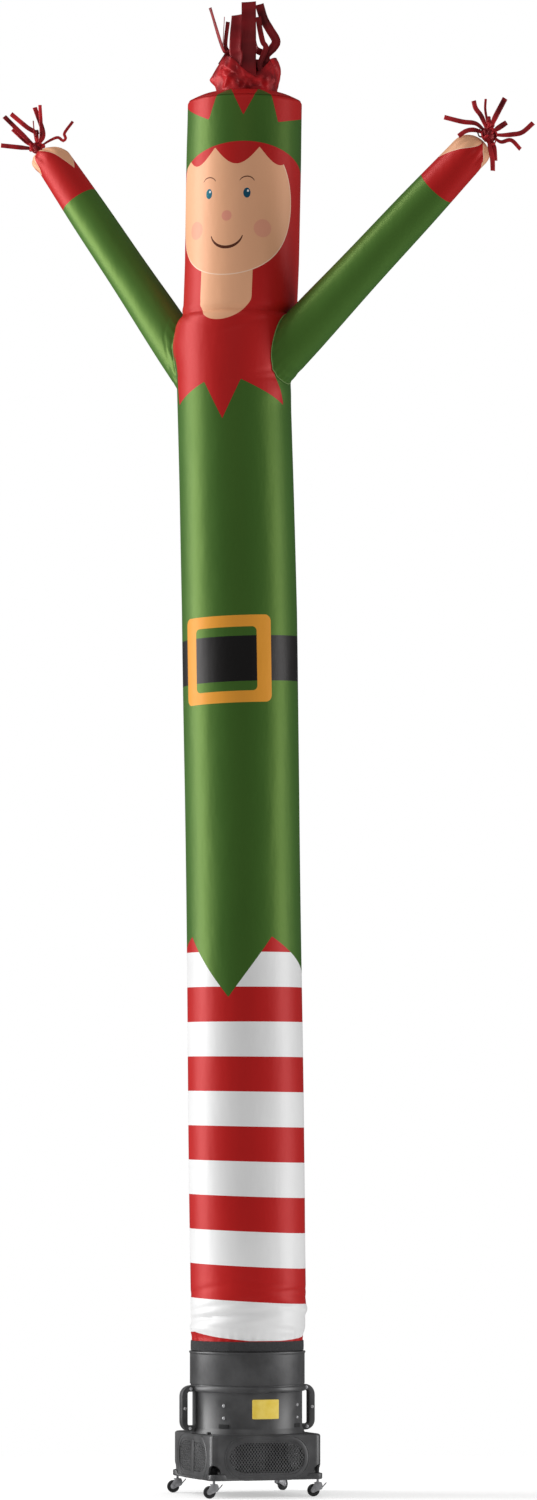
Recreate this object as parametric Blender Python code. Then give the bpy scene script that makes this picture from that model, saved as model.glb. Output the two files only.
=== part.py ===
"""Inflatable air dancer standing on its portable blower.

Units are metres and +Z is up.  The dancer faces -Y.  A bearing is an angle in degrees seen from
above, 0 towards -Y and 90 towards +X.  "Across" and "behind" are the two level directions of the
plane in which the arms are spread.
"""

import math

import bmesh
import bpy
from mathutils import Matrix, Vector

# ---- shared sizes -------------------------------------------------------------------------
GAP = 0.0003                # air left between neighbouring pieces
CLOTH = 0.0015              # thickness of the nylon skin
AXIS_X = -0.056             # the tube's axis, set so that the whole model is centred on X = Y = 0
AXIS_Y = -0.022
SPREAD_TURN = 12.0          # bearing of the spread plane's near side
BLOWER_TURN = 32.0          # bearing of the blower's front

# ---- body tube ----------------------------------------------------------------------------
TUBE_RADIUS = 0.2286        # 18 inch tube
TUBE_SIDES = 28
HEM_BOTTOM = 0.571
HEM_RADIUS = 0.2205         # the hem is drawn in under the strap
HEM_FREE = 0.618            # the hem starts to swell above this height
HEM_FULL = 0.664            # and has the tube's full radius here
TUBE_TOP = 5.550
RIM_ROUND = 0.012           # height over which the tube draws in to meet its cap
CAP_RIM = TUBE_RADIUS - 0.4 * RIM_ROUND

# Sideways lean of the tube: height, shift along +X.
LEAN = (
    (0.62, 0.000),
    (0.80, 0.004),
    (1.05, 0.000),
    (1.40, -0.005),
    (2.10, -0.013),
    (2.80, -0.021),
    (3.50, -0.032),
    (4.00, -0.045),
    (4.40, -0.057),
    (4.65, -0.056),
    (4.73, -0.030),
    (4.90, -0.023),
    (5.30, -0.015),
    (5.60, -0.010),
)

# Heights at which the tube has a ring of points: from, to, number of steps.
TUBE_ZONES = (
    (HEM_BOTTOM, HEM_FREE, 2),
    (HEM_FREE, HEM_FULL, 3),
    (HEM_FULL, 0.84, 5),
    (0.84, 4.26, 5),
    (4.26, 4.63, 6),
    (4.63, 4.75, 7),
    (4.75, 5.52, 3),
    (5.52, TUBE_TOP, 2),
)

# Soft folds in the tube.  Depth is inward, and a bulge has a negative depth.
# height, bearing, climb per metre round the tube, depth, half height, half length round the tube
TUBE_FOLDS = (
    (4.692, 0, 0.00, 0.011, 0.013, 9.00),
    (4.570, -90, 0.00, -0.019, 0.075, 0.12),
    (4.600, 62, 0.00, -0.008, 0.090, 0.10),
    (4.380, 70, 0.00, -0.006, 0.040, 0.10),
    (0.705, -28, 0.11, 0.008, 0.013, 0.25),
    (0.672, -30, 0.10, -0.006, 0.014, 0.24),
    (0.748, 48, -0.12, 0.005, 0.012, 0.10),
    (0.730, 98, 0.00, -0.008, 0.020, 0.10),
    (0.690, 150, -0.10, 0.007, 0.015, 0.22),
    (0.735, -140, 0.08, 0.006, 0.015, 0.18),
)

# ---- cap and crown spout ------------------------------------------------------------------
CAP_RISE = 0.034            # how far the cap domes up to the spout
CAP_HOLE = 0.102            # radius of the air way under the spout
SPOUT_FOOT = 0.120          # radius at which the spout stands on the cap
SPOUT_SHIFT = 0.008         # the spout stands a little off the head's middle
SPOUT_SIDES = 32
SPOUT_PLEATS = 8
SPOUT_TOP = 5.738
RIM_DIP = 0.095             # how far the spout's rim falls open in front
RIM_DIP_TURN = 24.0         # bearing of the lowest place
RIM_DIP_WIDTH = 38.0
RIM_FLAP = (-78.0, 20.0, 0.36, 0.12, 0.014)     # bearing, width, share, half height, how far out
RIM_TUCK = (-78.0, 45.0, 0.022)                 # the rim leans in here: bearing, width, how far
BAND_SHARES = (0.74, 0.88, 0.985)   # strip inside the mouth, from which the streamers grow
BAND_GAP = 0.0018           # the strip stays this far inside the gathered wall
RIM_LEAN = 0.05             # a streamer leans in by this share as it clears the mouth's rim
RIM_CLEARANCE = 0.022

# Crown spout: share of its height, radius, depth of its pleats.
SPOUT_SECTIONS = (
    (0.00, 0.120, 0.002),
    (0.20, 0.122, 0.003),
    (0.38, 0.128, 0.005),
    (0.55, 0.129, 0.006),
    (0.72, 0.126, 0.006),
    (0.88, 0.120, 0.006),
    (1.00, 0.112, 0.006),
)

# ---- arms ---------------------------------------------------------------------------------
ARM_SIDES = 20
ARM_STEPS = 6
ARM_FIRST_RING = 0.175      # distance from the root at which an arm's rings are square to it
SEAM_GAP = 0.0030           # an arm's rim stands this far off the round tube
SEAM_TURNING = 0.013        # cloth of the tube left inside an arm's seam
TIP_DOME = 0.085
TIP_BLUNTNESS = 3.0
TIP_DROOP = {"left": 0.026, "right": 0.008}     # the gathered tip sits off the arm's axis

# bearing, height of the root, climb in degrees, length, radius at the root, radius at the cuff
ARMS = {
    "left": (-110.0, 4.534, 52.9, 1.135, 0.095, 0.0745),
    "right": (78.0, 4.545, 43.2, 1.155, 0.100, 0.0775),
}

# ---- streamers ----------------------------------------------------------------------------
STREAMER = 0.0155           # usual width of a streamer
STREAMER_THICKNESS = 0.0016
KNOT_RADIUS = {"left": 0.021, "right": 0.030}

# Each streamer: width, then the places it passes as across, behind and height from the knot.
HAND_STREAMERS = {
    "left": (
        (STREAMER, (-0.040, 0.000, 0.000), (-0.149, 0.000, 0.011)),
        (STREAMER, (-0.042, -0.012, 0.036), (-0.135, -0.020, 0.127)),
        (0.0130, (-0.044, 0.016, 0.026), (-0.103, 0.020, 0.081)),
        (STREAMER, (-0.006, 0.012, 0.062), (-0.045, 0.016, 0.090), (-0.109, 0.020, 0.144)),
        (STREAMER, (0.024, 0.014, 0.062), (-0.012, 0.022, 0.171)),
        (0.0120, (0.016, -0.014, 0.060), (0.011, -0.018, 0.175)),
        (0.0040, (-0.010, -0.020, 0.040), (-0.016, -0.030, 0.108)),
        (0.0100, (0.052, 0.000, 0.032), (0.084, 0.000, 0.044), (0.105, 0.000, 0.030),
         (0.116, 0.000, 0.042), (0.111, 0.000, 0.062), (0.145, 0.000, 0.110)),
    ),
    "right": (
        (STREAMER, (-0.052, 0.006, 0.044), (-0.105, 0.010, 0.052), (-0.176, 0.012, 0.070)),
        (STREAMER, (-0.060, -0.012, 0.016), (-0.092, -0.018, 0.010), (-0.121, -0.018, -0.010)),
        (STREAMER, (-0.030, 0.000, 0.072), (-0.052, 0.004, 0.104), (-0.060, 0.004, 0.134)),
        (0.0080, (-0.008, 0.014, 0.062), (-0.014, 0.018, 0.104), (-0.012, 0.020, 0.144)),
        (0.0180, (0.022, 0.002, 0.062), (0.064, 0.006, 0.144)),
        (0.0180, (0.042, 0.010, 0.030), (0.070, 0.012, 0.049)),
        (STREAMER, (0.050, -0.006, -0.004), (0.090, -0.010, -0.002), (0.131, -0.010, 0.007),
         (0.174, -0.010, 0.044)),
        (0.0130, (0.048, 0.014, -0.028), (0.088, 0.020, -0.020), (0.125, 0.022, -0.056)),
        (STREAMER, (0.002, -0.016, -0.050), (0.012, -0.022, -0.100), (0.014, -0.022, -0.148)),
        (STREAMER, (0.020, 0.002, -0.052), (0.024, 0.006, -0.104)),
    ),
}

# Each crown streamer: bearing of its root, number of band faces it grows from, width, then the
# places it passes as across, behind and height from the middle of the spout's mouth.
CROWN_STREAMERS = (
    (16, 3, 0.058, (0.008, -0.086, 0.021), (0.008, -0.070, 0.208)),
    (-14, 3, 0.047, (-0.046, -0.082, 0.021), (-0.039, -0.066, 0.156)),
    (-52, 1, 0.014, (-0.094, -0.050, 0.017), (-0.147, -0.070, 0.184)),
    (-78, 1, 0.004, (-0.096, 0.000, 0.025), (-0.090, 0.006, 0.160)),
    (-100, 1, 0.009, (-0.086, 0.030, 0.050), (-0.076, 0.034, 0.145)),
    (64, 1, 0.026, (0.106, -0.056, 0.026), (0.117, -0.050, 0.055), (0.090, -0.042, 0.104),
     (0.068, -0.038, 0.145), (0.050, -0.036, 0.204)),
    (44, 1, 0.020, (0.076, -0.078, 0.020), (0.064, -0.072, 0.046), (0.052, -0.060, 0.102),
     (0.046, -0.056, 0.150)),
    (150, 2, 0.034, (0.034, 0.080, 0.048), (0.018, 0.100, 0.150)),
    (190, 3, 0.050, (-0.010, 0.086, 0.049), (-0.004, 0.080, 0.168)),
    (-130, 1, 0.014, (-0.058, 0.076, 0.047), (-0.044, 0.100, 0.130)),
)

# ---- blower -------------------------------------------------------------------------------
WALL = 0.004                # moulded wall
BASE_BOTTOM = 0.068
BASE_PLATE = 0.006
BASE_RIM_TOP = 0.092
BASE_HALF = 0.2375
BASE_SIDE = 0.2330          # between its ears the tray is flush with the box
BASE_SIDE_TOP = 0.0756
BASE_EAR = 0.060            # length of an ear along each side
BASE_EAR_RUN = 0.010
BOX_HALF = 0.2315
BOX_TOP = 0.246
BOX_CORNER = 0.030
CAVITY_CORNER = 0.120
COLLAR_SIDES = 32
BARREL_RADIUS = 0.2175
BARREL_FOOT = 0.270
NECK_RADIUS = 0.2172
NECK_TOP = 0.640
DUCT_RADIUS = 0.2105        # hole in the box's top under the collar

# Outside of the collar from its foot up to its neck: radius, height.
COLLAR_OUTSIDE = (
    (0.2275, BOX_TOP + GAP),
    (0.2255, 0.256),
    (BARREL_RADIUS, BARREL_FOOT),
    (BARREL_RADIUS, 0.409),
    (0.2290, 0.412),
    (0.2305, 0.4215),
    (0.2290, 0.431),
    (0.2240, 0.4345),
    (0.2275, 0.439),
    (0.2275, 0.558),
    (0.2305, 0.561),
    (0.2305, 0.5665),
    (NECK_RADIUS, 0.568),
    (NECK_RADIUS, NECK_TOP),
)

STRAP_BOTTOM = 0.570
STRAP_TOP = 0.609
STRAP_THICKNESS = 0.003
STRAP_LAP = 0.0028          # extra thickness where the strap's end laps over itself
STRAP_LAP_FROM = -70.0
STRAP_LAP_TO = -5.0

GRILLE_WIDTH = 0.325
GRILLE_HEIGHT = 0.136
GRILLE_MIDDLE = 0.155       # height of its centre line
GRILLE_INSET = 0.0055       # the plate lies this far behind the box's face
GRILLE_THICKNESS = 0.003
GRILLE_PITCH = 0.045
GRILLE_HOLE = 0.0170        # half diagonal of a diamond hole
GRILLE_RIB = 0.032          # width of the upright rib on the side grilles

# Side of the housing: turn about its middle, whether its grille has an upright rib.
GRILLE_SIDES = {
    "front": (0.0, False),
    "right": (90.0, True),
    "back": (180.0, False),
    "left": (270.0, True),
}

HANDLE_OUTER = 0.279
HANDLE_BAR = 0.023
HANDLE_DEPTH = 0.035
HANDLE_BOTTOM = 0.252
HANDLE_TOP = 0.433
HANDLE_ARM = 0.024          # height of its upper and lower arms
HANDLE_BOLTS = ((0.243, 0.420), (0.2675, 0.343), (0.246, 0.265))    # radius, height

LABEL_WIDTH = 0.112
LABEL_BOTTOM = 0.3065
LABEL_TOP = 0.3825
LABEL_THICKNESS = 0.001

BARREL_BOLT_HEIGHTS = (0.309, 0.358)
BOLT_RADIUS = 0.0065
BOLT_HEAD = 0.004
POCKET_RADIUS = 0.030       # arched pocket in each lower corner of the box
POCKET_TOP = 0.128
NUT_RADIUS = 0.0075
NUT_HEIGHT = 0.012

MOTOR_RADIUS = 0.070
MOTOR_TOP = 0.215
KNOB_RADIUS = 0.010
KNOB_HEIGHT = 0.009
KNOB_PLACE = (-0.2130, -0.1430)     # on the box's top, beside the collar's foot

# ---- casters ------------------------------------------------------------------------------
CASTER_REACH = 0.217        # stem axis from the box's middle planes
WHEEL_RADIUS = 0.0245
WHEEL_SIDES = 16
WHEEL_WIDTH = 0.018
HUB_RADIUS = 0.010
WHEEL_BORE = 0.0043
AXLE_RADIUS = 0.0040
TRAIL = 0.017
FORK_PLATE = 0.0025
FORK_GAP = 0.0215
FORK_HEAD_RADIUS = 0.016
FORK_HEAD_BOTTOM = 0.0530
FORK_HEAD_TOP = 0.0560
STEM_RADIUS = 0.0050
PEDAL_LENGTH = 0.028
PEDAL_WIDTH = 0.016
PEDAL_THICKNESS = 0.004
PEDAL_PIVOT = (0.0150, 0.033)       # ahead of the stem, height
PEDAL_RISE = 48.0

# Corner of the blower: side along X, side along Y, direction in which its caster trails.
CORNERS = {
    "front_left": (-1, -1, 160.0),
    "front_right": (1, -1, 160.0),
    "back_left": (-1, 1, 160.0),
    "back_right": (1, 1, 30.0),
}

# ---- materials: colour, roughness, metallic -------------------------------------------------
FINISHES = {
    "red_green_nylon": ((0.30, 0.42, 0.17), 0.45, 0.0),
    "red_nylon": ((0.55, 0.06, 0.08), 0.45, 0.0),
    "dark_red_satin": ((0.28, 0.02, 0.04), 0.40, 0.0),
    "black_webbing": ((0.03, 0.03, 0.03), 0.85, 0.0),
    "black_plastic": ((0.025, 0.025, 0.028), 0.45, 0.0),
    "grey_plastic": ((0.05, 0.05, 0.055), 0.55, 0.0),
    "yellow_label": ((0.80, 0.62, 0.05), 0.45, 0.0),
    "zinc_steel": ((0.62, 0.62, 0.62), 0.30, 1.0),
    "motor_steel": ((0.12, 0.12, 0.13), 0.50, 0.6),
    "black_rubber": ((0.02, 0.02, 0.02), 0.75, 0.0),
}


# ---- small helpers --------------------------------------------------------------------------
def clear_scene():
    for old in list(bpy.data.objects):
        bpy.data.objects.remove(old, do_unlink=True)


def finish_material(name):
    material = bpy.data.materials.get(name)
    if material is None:
        colour, roughness, metallic = FINISHES[name]
        material = bpy.data.materials.new(name)
        material.use_nodes = True
        shader = material.node_tree.nodes["Principled BSDF"]
        shader.inputs["Base Color"].default_value = (*colour, 1.0)
        shader.inputs["Roughness"].default_value = roughness
        shader.inputs["Metallic"].default_value = metallic
    return material


def add_object(name, mesh_data, finish, parent=None, location=(0.0, 0.0, 0.0), turn=0.0):
    """Turns a bmesh into a named object with its own material."""
    bmesh.ops.recalc_face_normals(mesh_data, faces=mesh_data.faces[:])
    mesh = bpy.data.meshes.new(name)
    mesh_data.to_mesh(mesh)
    mesh_data.free()
    mesh.shade_smooth()
    mesh.set_sharp_from_angle(angle=math.radians(35.0))
    mesh.materials.append(finish_material(finish))
    piece = bpy.data.objects.new(name, mesh)
    bpy.context.collection.objects.link(piece)
    piece.parent = parent
    piece.location = location
    piece.rotation_euler = (0.0, 0.0, math.radians(turn))
    return piece


def add_cutter(name, mesh_data, parent=None, location=(0.0, 0.0, 0.0), turn=0.0):
    cutter = add_object(name, mesh_data, "black_plastic", parent, location, turn)
    cutter.hide_render = True
    cutter.display_type = "WIRE"
    return cutter


def combine(piece, other, operation):
    modifier = piece.modifiers.new(other.name, "BOOLEAN")
    modifier.operation = operation
    modifier.solver = "EXACT"
    modifier.object = other


def add_empty(name, location, turn=0.0, parent=None):
    empty = bpy.data.objects.new(name, None)
    bpy.context.collection.objects.link(empty)
    empty.parent = parent
    empty.location = location
    empty.rotation_euler = (0.0, 0.0, math.radians(turn))
    return empty


def heading(bearing):
    """Level unit vector of a bearing in degrees."""
    angle = math.radians(bearing)
    return Vector((math.sin(angle), -math.cos(angle), 0.0))


def between(table, key):
    """Value of a two-column table at key, on straight lines between its rows."""
    if key <= table[0][0]:
        return table[0][1]
    for low, high in zip(table, table[1:]):
        if key <= high[0]:
            share = (key - low[0]) / (high[0] - low[0])
            return low[1] + (high[1] - low[1]) * share
    return table[-1][1]


def smooth_share(value, low, high):
    share = min(max((value - low) / (high - low), 0.0), 1.0)
    return share * share * (3.0 - 2.0 * share)


def skin_rings(mesh_data, rings, closed):
    """Joins rings of points with faces.  A closed stack returns to its first ring."""
    rows = [[mesh_data.verts.new(point) for point in ring] for ring in rings]
    pairs = list(zip(rows, rows[1:]))
    if closed:
        pairs.append((rows[-1], rows[0]))
    else:
        mesh_data.faces.new(rows[0][::-1])
        mesh_data.faces.new(rows[-1])
    for low, high in pairs:
        for k in range(len(low)):
            n = (k + 1) % len(low)
            mesh_data.faces.new((low[k], low[n], high[n], high[k]))
    return rows


def circle(radius, height, sides, middle=(0.0, 0.0), first=0.0):
    """Ring of points; first moves its first point on by a share of one side."""
    angles = [2 * math.pi * (k + first) / sides for k in range(sides)]
    return [
        Vector((middle[0] + radius * math.cos(a), middle[1] + radius * math.sin(a), height))
        for a in angles
    ]


def turned(profile, sides, closed=True, first=0.0):
    """Solid turned round Z from (radius, height) points; a closed profile leaves a way through."""
    mesh_data = bmesh.new()
    skin_rings(mesh_data, [circle(r, z, sides, first=first) for r, z in profile], closed)
    return mesh_data


def rounded_square(half, corner, height, steps=5):
    """Ring of points round a square with rounded corners."""
    ring = []
    for quarter in range(4):
        base = math.pi / 2 * quarter
        middle = Vector((half - corner, half - corner, 0.0))
        for k in range(steps + 1):
            angle = math.pi / 2 * k / steps
            point = middle + corner * Vector((math.cos(angle), math.sin(angle), 0.0))
            point.rotate(Matrix.Rotation(base, 3, "Z"))
            ring.append(Vector((point.x, point.y, height)))
    return ring


def eared_square(ear_half, side_half, ear_height, side_height, steps=5):
    """Ring round a square whose corners stand out as ears."""
    reach = BASE_HALF - BASE_EAR
    before = (side_half, reach - BASE_EAR_RUN)
    ring = []
    for quarter in range(4):
        turn = Matrix.Rotation(math.pi / 2 * quarter, 3, "Z")
        corner = [(before, side_height), ((ear_half, reach), ear_height)]
        middle = ear_half - BOX_CORNER
        for k in range(steps + 1):
            angle = math.pi / 2 * k / steps
            place = (middle + BOX_CORNER * math.cos(angle), middle + BOX_CORNER * math.sin(angle))
            corner.append((place, ear_height))
        corner += [((reach, ear_half), ear_height), (before[::-1], side_height)]
        for (x, y), height in corner:
            point = turn @ Vector((x, y, 0.0))
            ring.append(Vector((point.x, point.y, height)))
    return ring


def block(x0, x1, y0, y1, z0, z1):
    mesh_data = bmesh.new()
    rings = [
        [Vector((x0, y0, z)), Vector((x1, y0, z)), Vector((x1, y1, z)), Vector((x0, y1, z))]
        for z in (z0, z1)
    ]
    skin_rings(mesh_data, rings, closed=False)
    return mesh_data


def extruded(outline, depth_from, depth_to):
    """Prism of an (x, z) outline between two depths along Y."""
    mesh_data = bmesh.new()
    rings = [[Vector((x, y, z)) for x, z in outline] for y in (depth_from, depth_to)]
    skin_rings(mesh_data, rings, closed=False)
    return mesh_data


# ---- body tube --------------------------------------------------------------------------------
def tube_middle(height):
    return Vector((AXIS_X + between(LEAN, height), AXIS_Y, height))


def tube_radius(bearing, height):
    """Outer radius of the body tube with its folds, towards a bearing in degrees."""
    radius = HEM_RADIUS + (TUBE_RADIUS - HEM_RADIUS) * smooth_share(height, HEM_FREE, HEM_FULL)
    for fold_height, fold_bearing, climb, depth, half_height, half_length in TUBE_FOLDS:
        turn = (bearing - fold_bearing + 180.0) % 360.0 - 180.0
        along = math.radians(turn) * TUBE_RADIUS
        off = (height - fold_height - climb * along) / half_height
        radius -= depth * math.exp(-off * off - (along / half_length) ** 2)
    rim = smooth_share(height, TUBE_TOP - RIM_ROUND, TUBE_TOP)
    return radius - (TUBE_RADIUS - CAP_RIM) * rim * rim


def tube_ring(height, inset):
    middle = tube_middle(height)
    ring = []
    for k in range(TUBE_SIDES):
        bearing = 360.0 * k / TUBE_SIDES
        ring.append(middle + heading(bearing) * (tube_radius(bearing, height) - inset))
    return ring


def tube_heights():
    heights = [TUBE_ZONES[0][0]]
    for low, high, steps in TUBE_ZONES:
        heights += [low + (high - low) * (k + 1) / steps for k in range(steps)]
    return heights


def build_body_tube():
    heights = tube_heights()
    outside = [tube_ring(z, 0.0) for z in heights]
    inside = [tube_ring(z, CLOTH) for z in reversed(heights)]
    mesh_data = bmesh.new()
    skin_rings(mesh_data, outside + inside, closed=True)
    tube = add_object("body_tube", mesh_data, "red_green_nylon")
    for side in ARMS:
        combine(tube, arm_hole_cutter(side), "DIFFERENCE")


# ---- arms -------------------------------------------------------------------------------------
class Arm:
    """One arm as a straight, tapered tube with a domed tip."""

    def __init__(self, side):
        bearing, root_height, climb, length, root_radius, cuff_radius = ARMS[side]
        out = heading(bearing)
        rise = math.radians(climb)
        self.length = length
        self.droop = TIP_DROOP[side]
        self.root_radius = root_radius
        self.cuff_radius = cuff_radius
        self.root = tube_middle(root_height) + out * TUBE_RADIUS
        self.along = out * math.cos(rise) + Vector((0.0, 0.0, math.sin(rise)))
        self.under = out * math.sin(rise) - Vector((0.0, 0.0, math.cos(rise)))
        self.level = self.along.cross(self.under)

    def radius(self, distance):
        dome_from = self.length - TIP_DOME
        share = min(distance / dome_from, 1.0)
        radius = self.root_radius + (self.cuff_radius - self.root_radius) * share
        if distance > dome_from:
            over = min((distance - dome_from) / TIP_DOME, 1.0)
            radius *= math.sqrt(max(1.0 - over ** TIP_BLUNTNESS, 0.0))
        return radius

    def point(self, distance, angle, inset=0.0):
        radius = max(self.radius(distance) - inset, 0.0)
        droop = self.droop * smooth_share(distance, self.length - TIP_DOME, self.length)
        round_part = self.under * math.cos(angle) + self.level * math.sin(angle)
        return self.root + self.along * distance + self.under * droop + round_part * radius

    def tip(self):
        return self.root + self.along * self.length + self.under * self.droop

    def root_distance(self, angle, inset):
        """Where the line of the arm at this angle meets the round body tube."""
        near, far = -0.26, 0.30
        for _ in range(40):
            middle = (near + far) / 2
            place = self.point(middle, angle, inset)
            off = place - tube_middle(place.z)
            bearing = math.degrees(math.atan2(off.x, -off.y))
            if math.hypot(off.x, off.y) < tube_radius(bearing, place.z) + SEAM_GAP:
                near = middle
            else:
                far = middle
        return far


def arm_angles():
    return [2 * math.pi * k / ARM_SIDES for k in range(ARM_SIDES)]


def arm_rings(arm, inset):
    """Rings of one face of the arm's skin, from its root to just before its tip."""
    rings = [[arm.point(arm.root_distance(a, inset), a, inset) for a in arm_angles()]]
    dome_from = arm.length - TIP_DOME
    for k in range(ARM_STEPS + 1):
        distance = ARM_FIRST_RING + (dome_from - ARM_FIRST_RING) * k / ARM_STEPS
        rings.append([arm.point(distance, a, inset) for a in arm_angles()])
    for share in (0.50, 0.76, 0.91, 0.98):
        distance = dome_from + (TIP_DOME - inset) * share
        rings.append([arm.point(distance, a, inset) for a in arm_angles()])
    return rings


def build_arm(side):
    arm = Arm(side)
    mesh_data = bmesh.new()
    outside = arm_rings(arm, 0.0)
    inside = arm_rings(arm, CLOTH)
    skin_rings(mesh_data, outside[::-1] + inside, closed=False)
    return add_object("arm_" + side, mesh_data, "red_green_nylon")


def arm_hole_cutter(side):
    """Tapered plug that opens the body tube inside the arm's seam."""
    arm = Arm(side)
    mesh_data = bmesh.new()
    rings = [
        [arm.point(distance, a, CLOTH + SEAM_TURNING) for a in arm_angles()]
        for distance in (-0.20, 0.20)
    ]
    skin_rings(mesh_data, rings, closed=False)
    return add_cutter("arm_hole_" + side, mesh_data)


# ---- cap and spout ----------------------------------------------------------------------------
def cap_height(radius):
    """Height of the cap's upper face at a radius from its middle."""
    share = min(max((CAP_RIM - radius) / (CAP_RIM - SPOUT_FOOT), 0.0), 1.0)
    return TUBE_TOP + GAP + CLOTH + CAP_RISE * math.sin(share * math.pi / 2)


def build_cap():
    middle = tube_middle(TUBE_TOP)
    radii = (CAP_HOLE, SPOUT_FOOT, 0.155, 0.190, CAP_RIM)
    top = [(r, cap_height(r)) for r in radii]
    bottom = [(r, cap_height(r) - CLOTH) for r in reversed(radii)]
    mesh_data = bmesh.new()
    rings = [circle(r, z, TUBE_SIDES, (middle.x, middle.y)) for r, z in top + bottom]
    skin_rings(mesh_data, rings, closed=True)
    return add_object("head_cap", mesh_data, "red_green_nylon")


def spout_middle():
    return tube_middle(TUBE_TOP) + Vector((SPOUT_SHIFT, 0.0, 0.0))


def spout_wave(bearing):
    """Uneven gathers round the spout, from -1 to 1."""
    angle = math.radians(bearing)
    fine = math.sin(SPOUT_PLEATS * angle + 0.9 * math.sin(2 * angle))
    return 0.7 * fine + 0.3 * math.sin(4 * angle + 1.1)


def hump(bearing, turn, width):
    """Smooth swell round one bearing, from 0 to 1."""
    off = ((bearing - turn + 180.0) % 360.0 - 180.0) / width
    return math.exp(-off * off)


def spout_place(bearing, share, inset):
    """A point on the spout's wall; inset moves it in from the outer face."""
    radii = [(row[0], row[1]) for row in SPOUT_SECTIONS]
    depths = [(row[0], row[2]) for row in SPOUT_SECTIONS]
    foot = cap_height(SPOUT_FOOT) + GAP
    dip = RIM_DIP * hump(bearing, RIM_DIP_TURN, RIM_DIP_WIDTH)
    top = SPOUT_TOP + 0.006 * math.sin(math.radians(2 * bearing + 60)) - dip
    radius = between(radii, share) + between(depths, share) * spout_wave(bearing) - inset
    turn, width, middle_share, reach, out = RIM_FLAP
    radius += out * hump(bearing, turn, width) * math.exp(-((share - middle_share) / reach) ** 2)
    turn, width, tuck = RIM_TUCK
    radius -= tuck * hump(bearing, turn, width) * smooth_share(share, 0.5, 1.0)
    middle = spout_middle()
    level = middle + heading(bearing) * radius
    return Vector((level.x, level.y, foot + (top - foot) * share))


def spout_bearings():
    return [360.0 * k / SPOUT_SIDES for k in range(SPOUT_SIDES)]


def build_spout():
    shares = [row[0] for row in SPOUT_SECTIONS]
    outside = [[spout_place(b, s, 0.0) for b in spout_bearings()] for s in shares]
    inside = [[spout_place(b, s, CLOTH) for b in spout_bearings()] for s in reversed(shares)]
    mesh_data = bmesh.new()
    skin_rings(mesh_data, outside + inside, closed=True)
    return add_object("crown_spout", mesh_data, "dark_red_satin")


# ---- streamers ----------------------------------------------------------------------------------
def spread_vector(across, behind, up):
    """World vector of a step across, behind and up from the spread plane's point of view."""
    right = heading(SPREAD_TURN + 90.0)
    away = heading(SPREAD_TURN + 180.0)
    return right * across + away * behind + Vector((0.0, 0.0, up))


def grow_streamer(mesh_data, first_row, second_row, places, width):
    """Grows a flat strip from two matching rows of points along places."""
    count = len(first_row) - 1
    start = sum((v.co for v in first_row + second_row), Vector()) / (2 * len(first_row))
    side = first_row[-1].co - first_row[0].co
    rows = (first_row, second_row)
    before = start
    for k, place in enumerate(places):
        after = places[min(k + 1, len(places) - 1)]
        run = (after - before).normalized()
        across = (side - run * side.dot(run)).normalized()
        face = run.cross(across)
        lean = sum((v.co for v in rows[1]), Vector()) - sum((v.co for v in rows[0]), Vector())
        if face.dot(lean) < 0.0:
            face.negate()
        new_rows = []
        for sign in (-0.5, 0.5):
            offset = face * (sign * STREAMER_THICKNESS)
            new_rows.append([
                mesh_data.verts.new(place + offset + across * (width * (j / count - 0.5)))
                for j in range(count + 1)
            ])
        loop_low = rows[0] + rows[1][::-1]
        loop_high = new_rows[0] + new_rows[1][::-1]
        for j in range(len(loop_low)):
            n = (j + 1) % len(loop_low)
            mesh_data.faces.new((loop_low[j], loop_low[n], loop_high[n], loop_high[j]))
        rows = new_rows
        side = across
        before = place
    mesh_data.faces.new(rows[0] + rows[1][::-1])


def knot_mesh(middle, radius):
    """A lumpy ball for the knot that gathers an arm's tip."""
    mesh_data = bmesh.new()
    bmesh.ops.create_uvsphere(mesh_data, u_segments=12, v_segments=8, radius=radius)
    for vert in mesh_data.verts:
        angle = math.atan2(vert.co.y, vert.co.x)
        lump = 1.0 + 0.09 * math.sin(3 * angle + 40.0 * vert.co.z)
        vert.co = Vector((vert.co.x * lump, vert.co.y * lump, vert.co.z * 1.12)) + middle
    return mesh_data


def pick_root_face(mesh_data, middle, towards, used):
    """The knot's free four-sided face that looks most towards a direction."""
    best = None
    best_score = -2.0
    for face in mesh_data.faces:
        if len(face.verts) != 4 or face in used:
            continue
        score = (face.calc_center_median() - middle).normalized().dot(towards)
        if score > best_score:
            best, best_score = face, score
    return best


def build_hand_streamers(side):
    arm = Arm(side)
    radius = KNOT_RADIUS[side]
    middle = arm.tip() + arm.along * (1.16 * radius + 0.002)
    mesh_data = knot_mesh(middle, radius)
    mesh_data.normal_update()
    roots = []
    for width, *steps in HAND_STREAMERS[side]:
        places = [middle + spread_vector(*step) for step in steps]
        face = pick_root_face(mesh_data, middle, (places[0] - middle).normalized(), roots)
        roots.append(face)
    for face, (width, *steps) in zip(roots, HAND_STREAMERS[side]):
        places = [middle + spread_vector(*step) for step in steps]
        a, b, c, d = face.verts
        mesh_data.faces.remove(face)
        grow_streamer(mesh_data, [a, b], [d, c], places, width)
    return add_object("hand_streamers_" + side, mesh_data, "dark_red_satin")


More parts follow.
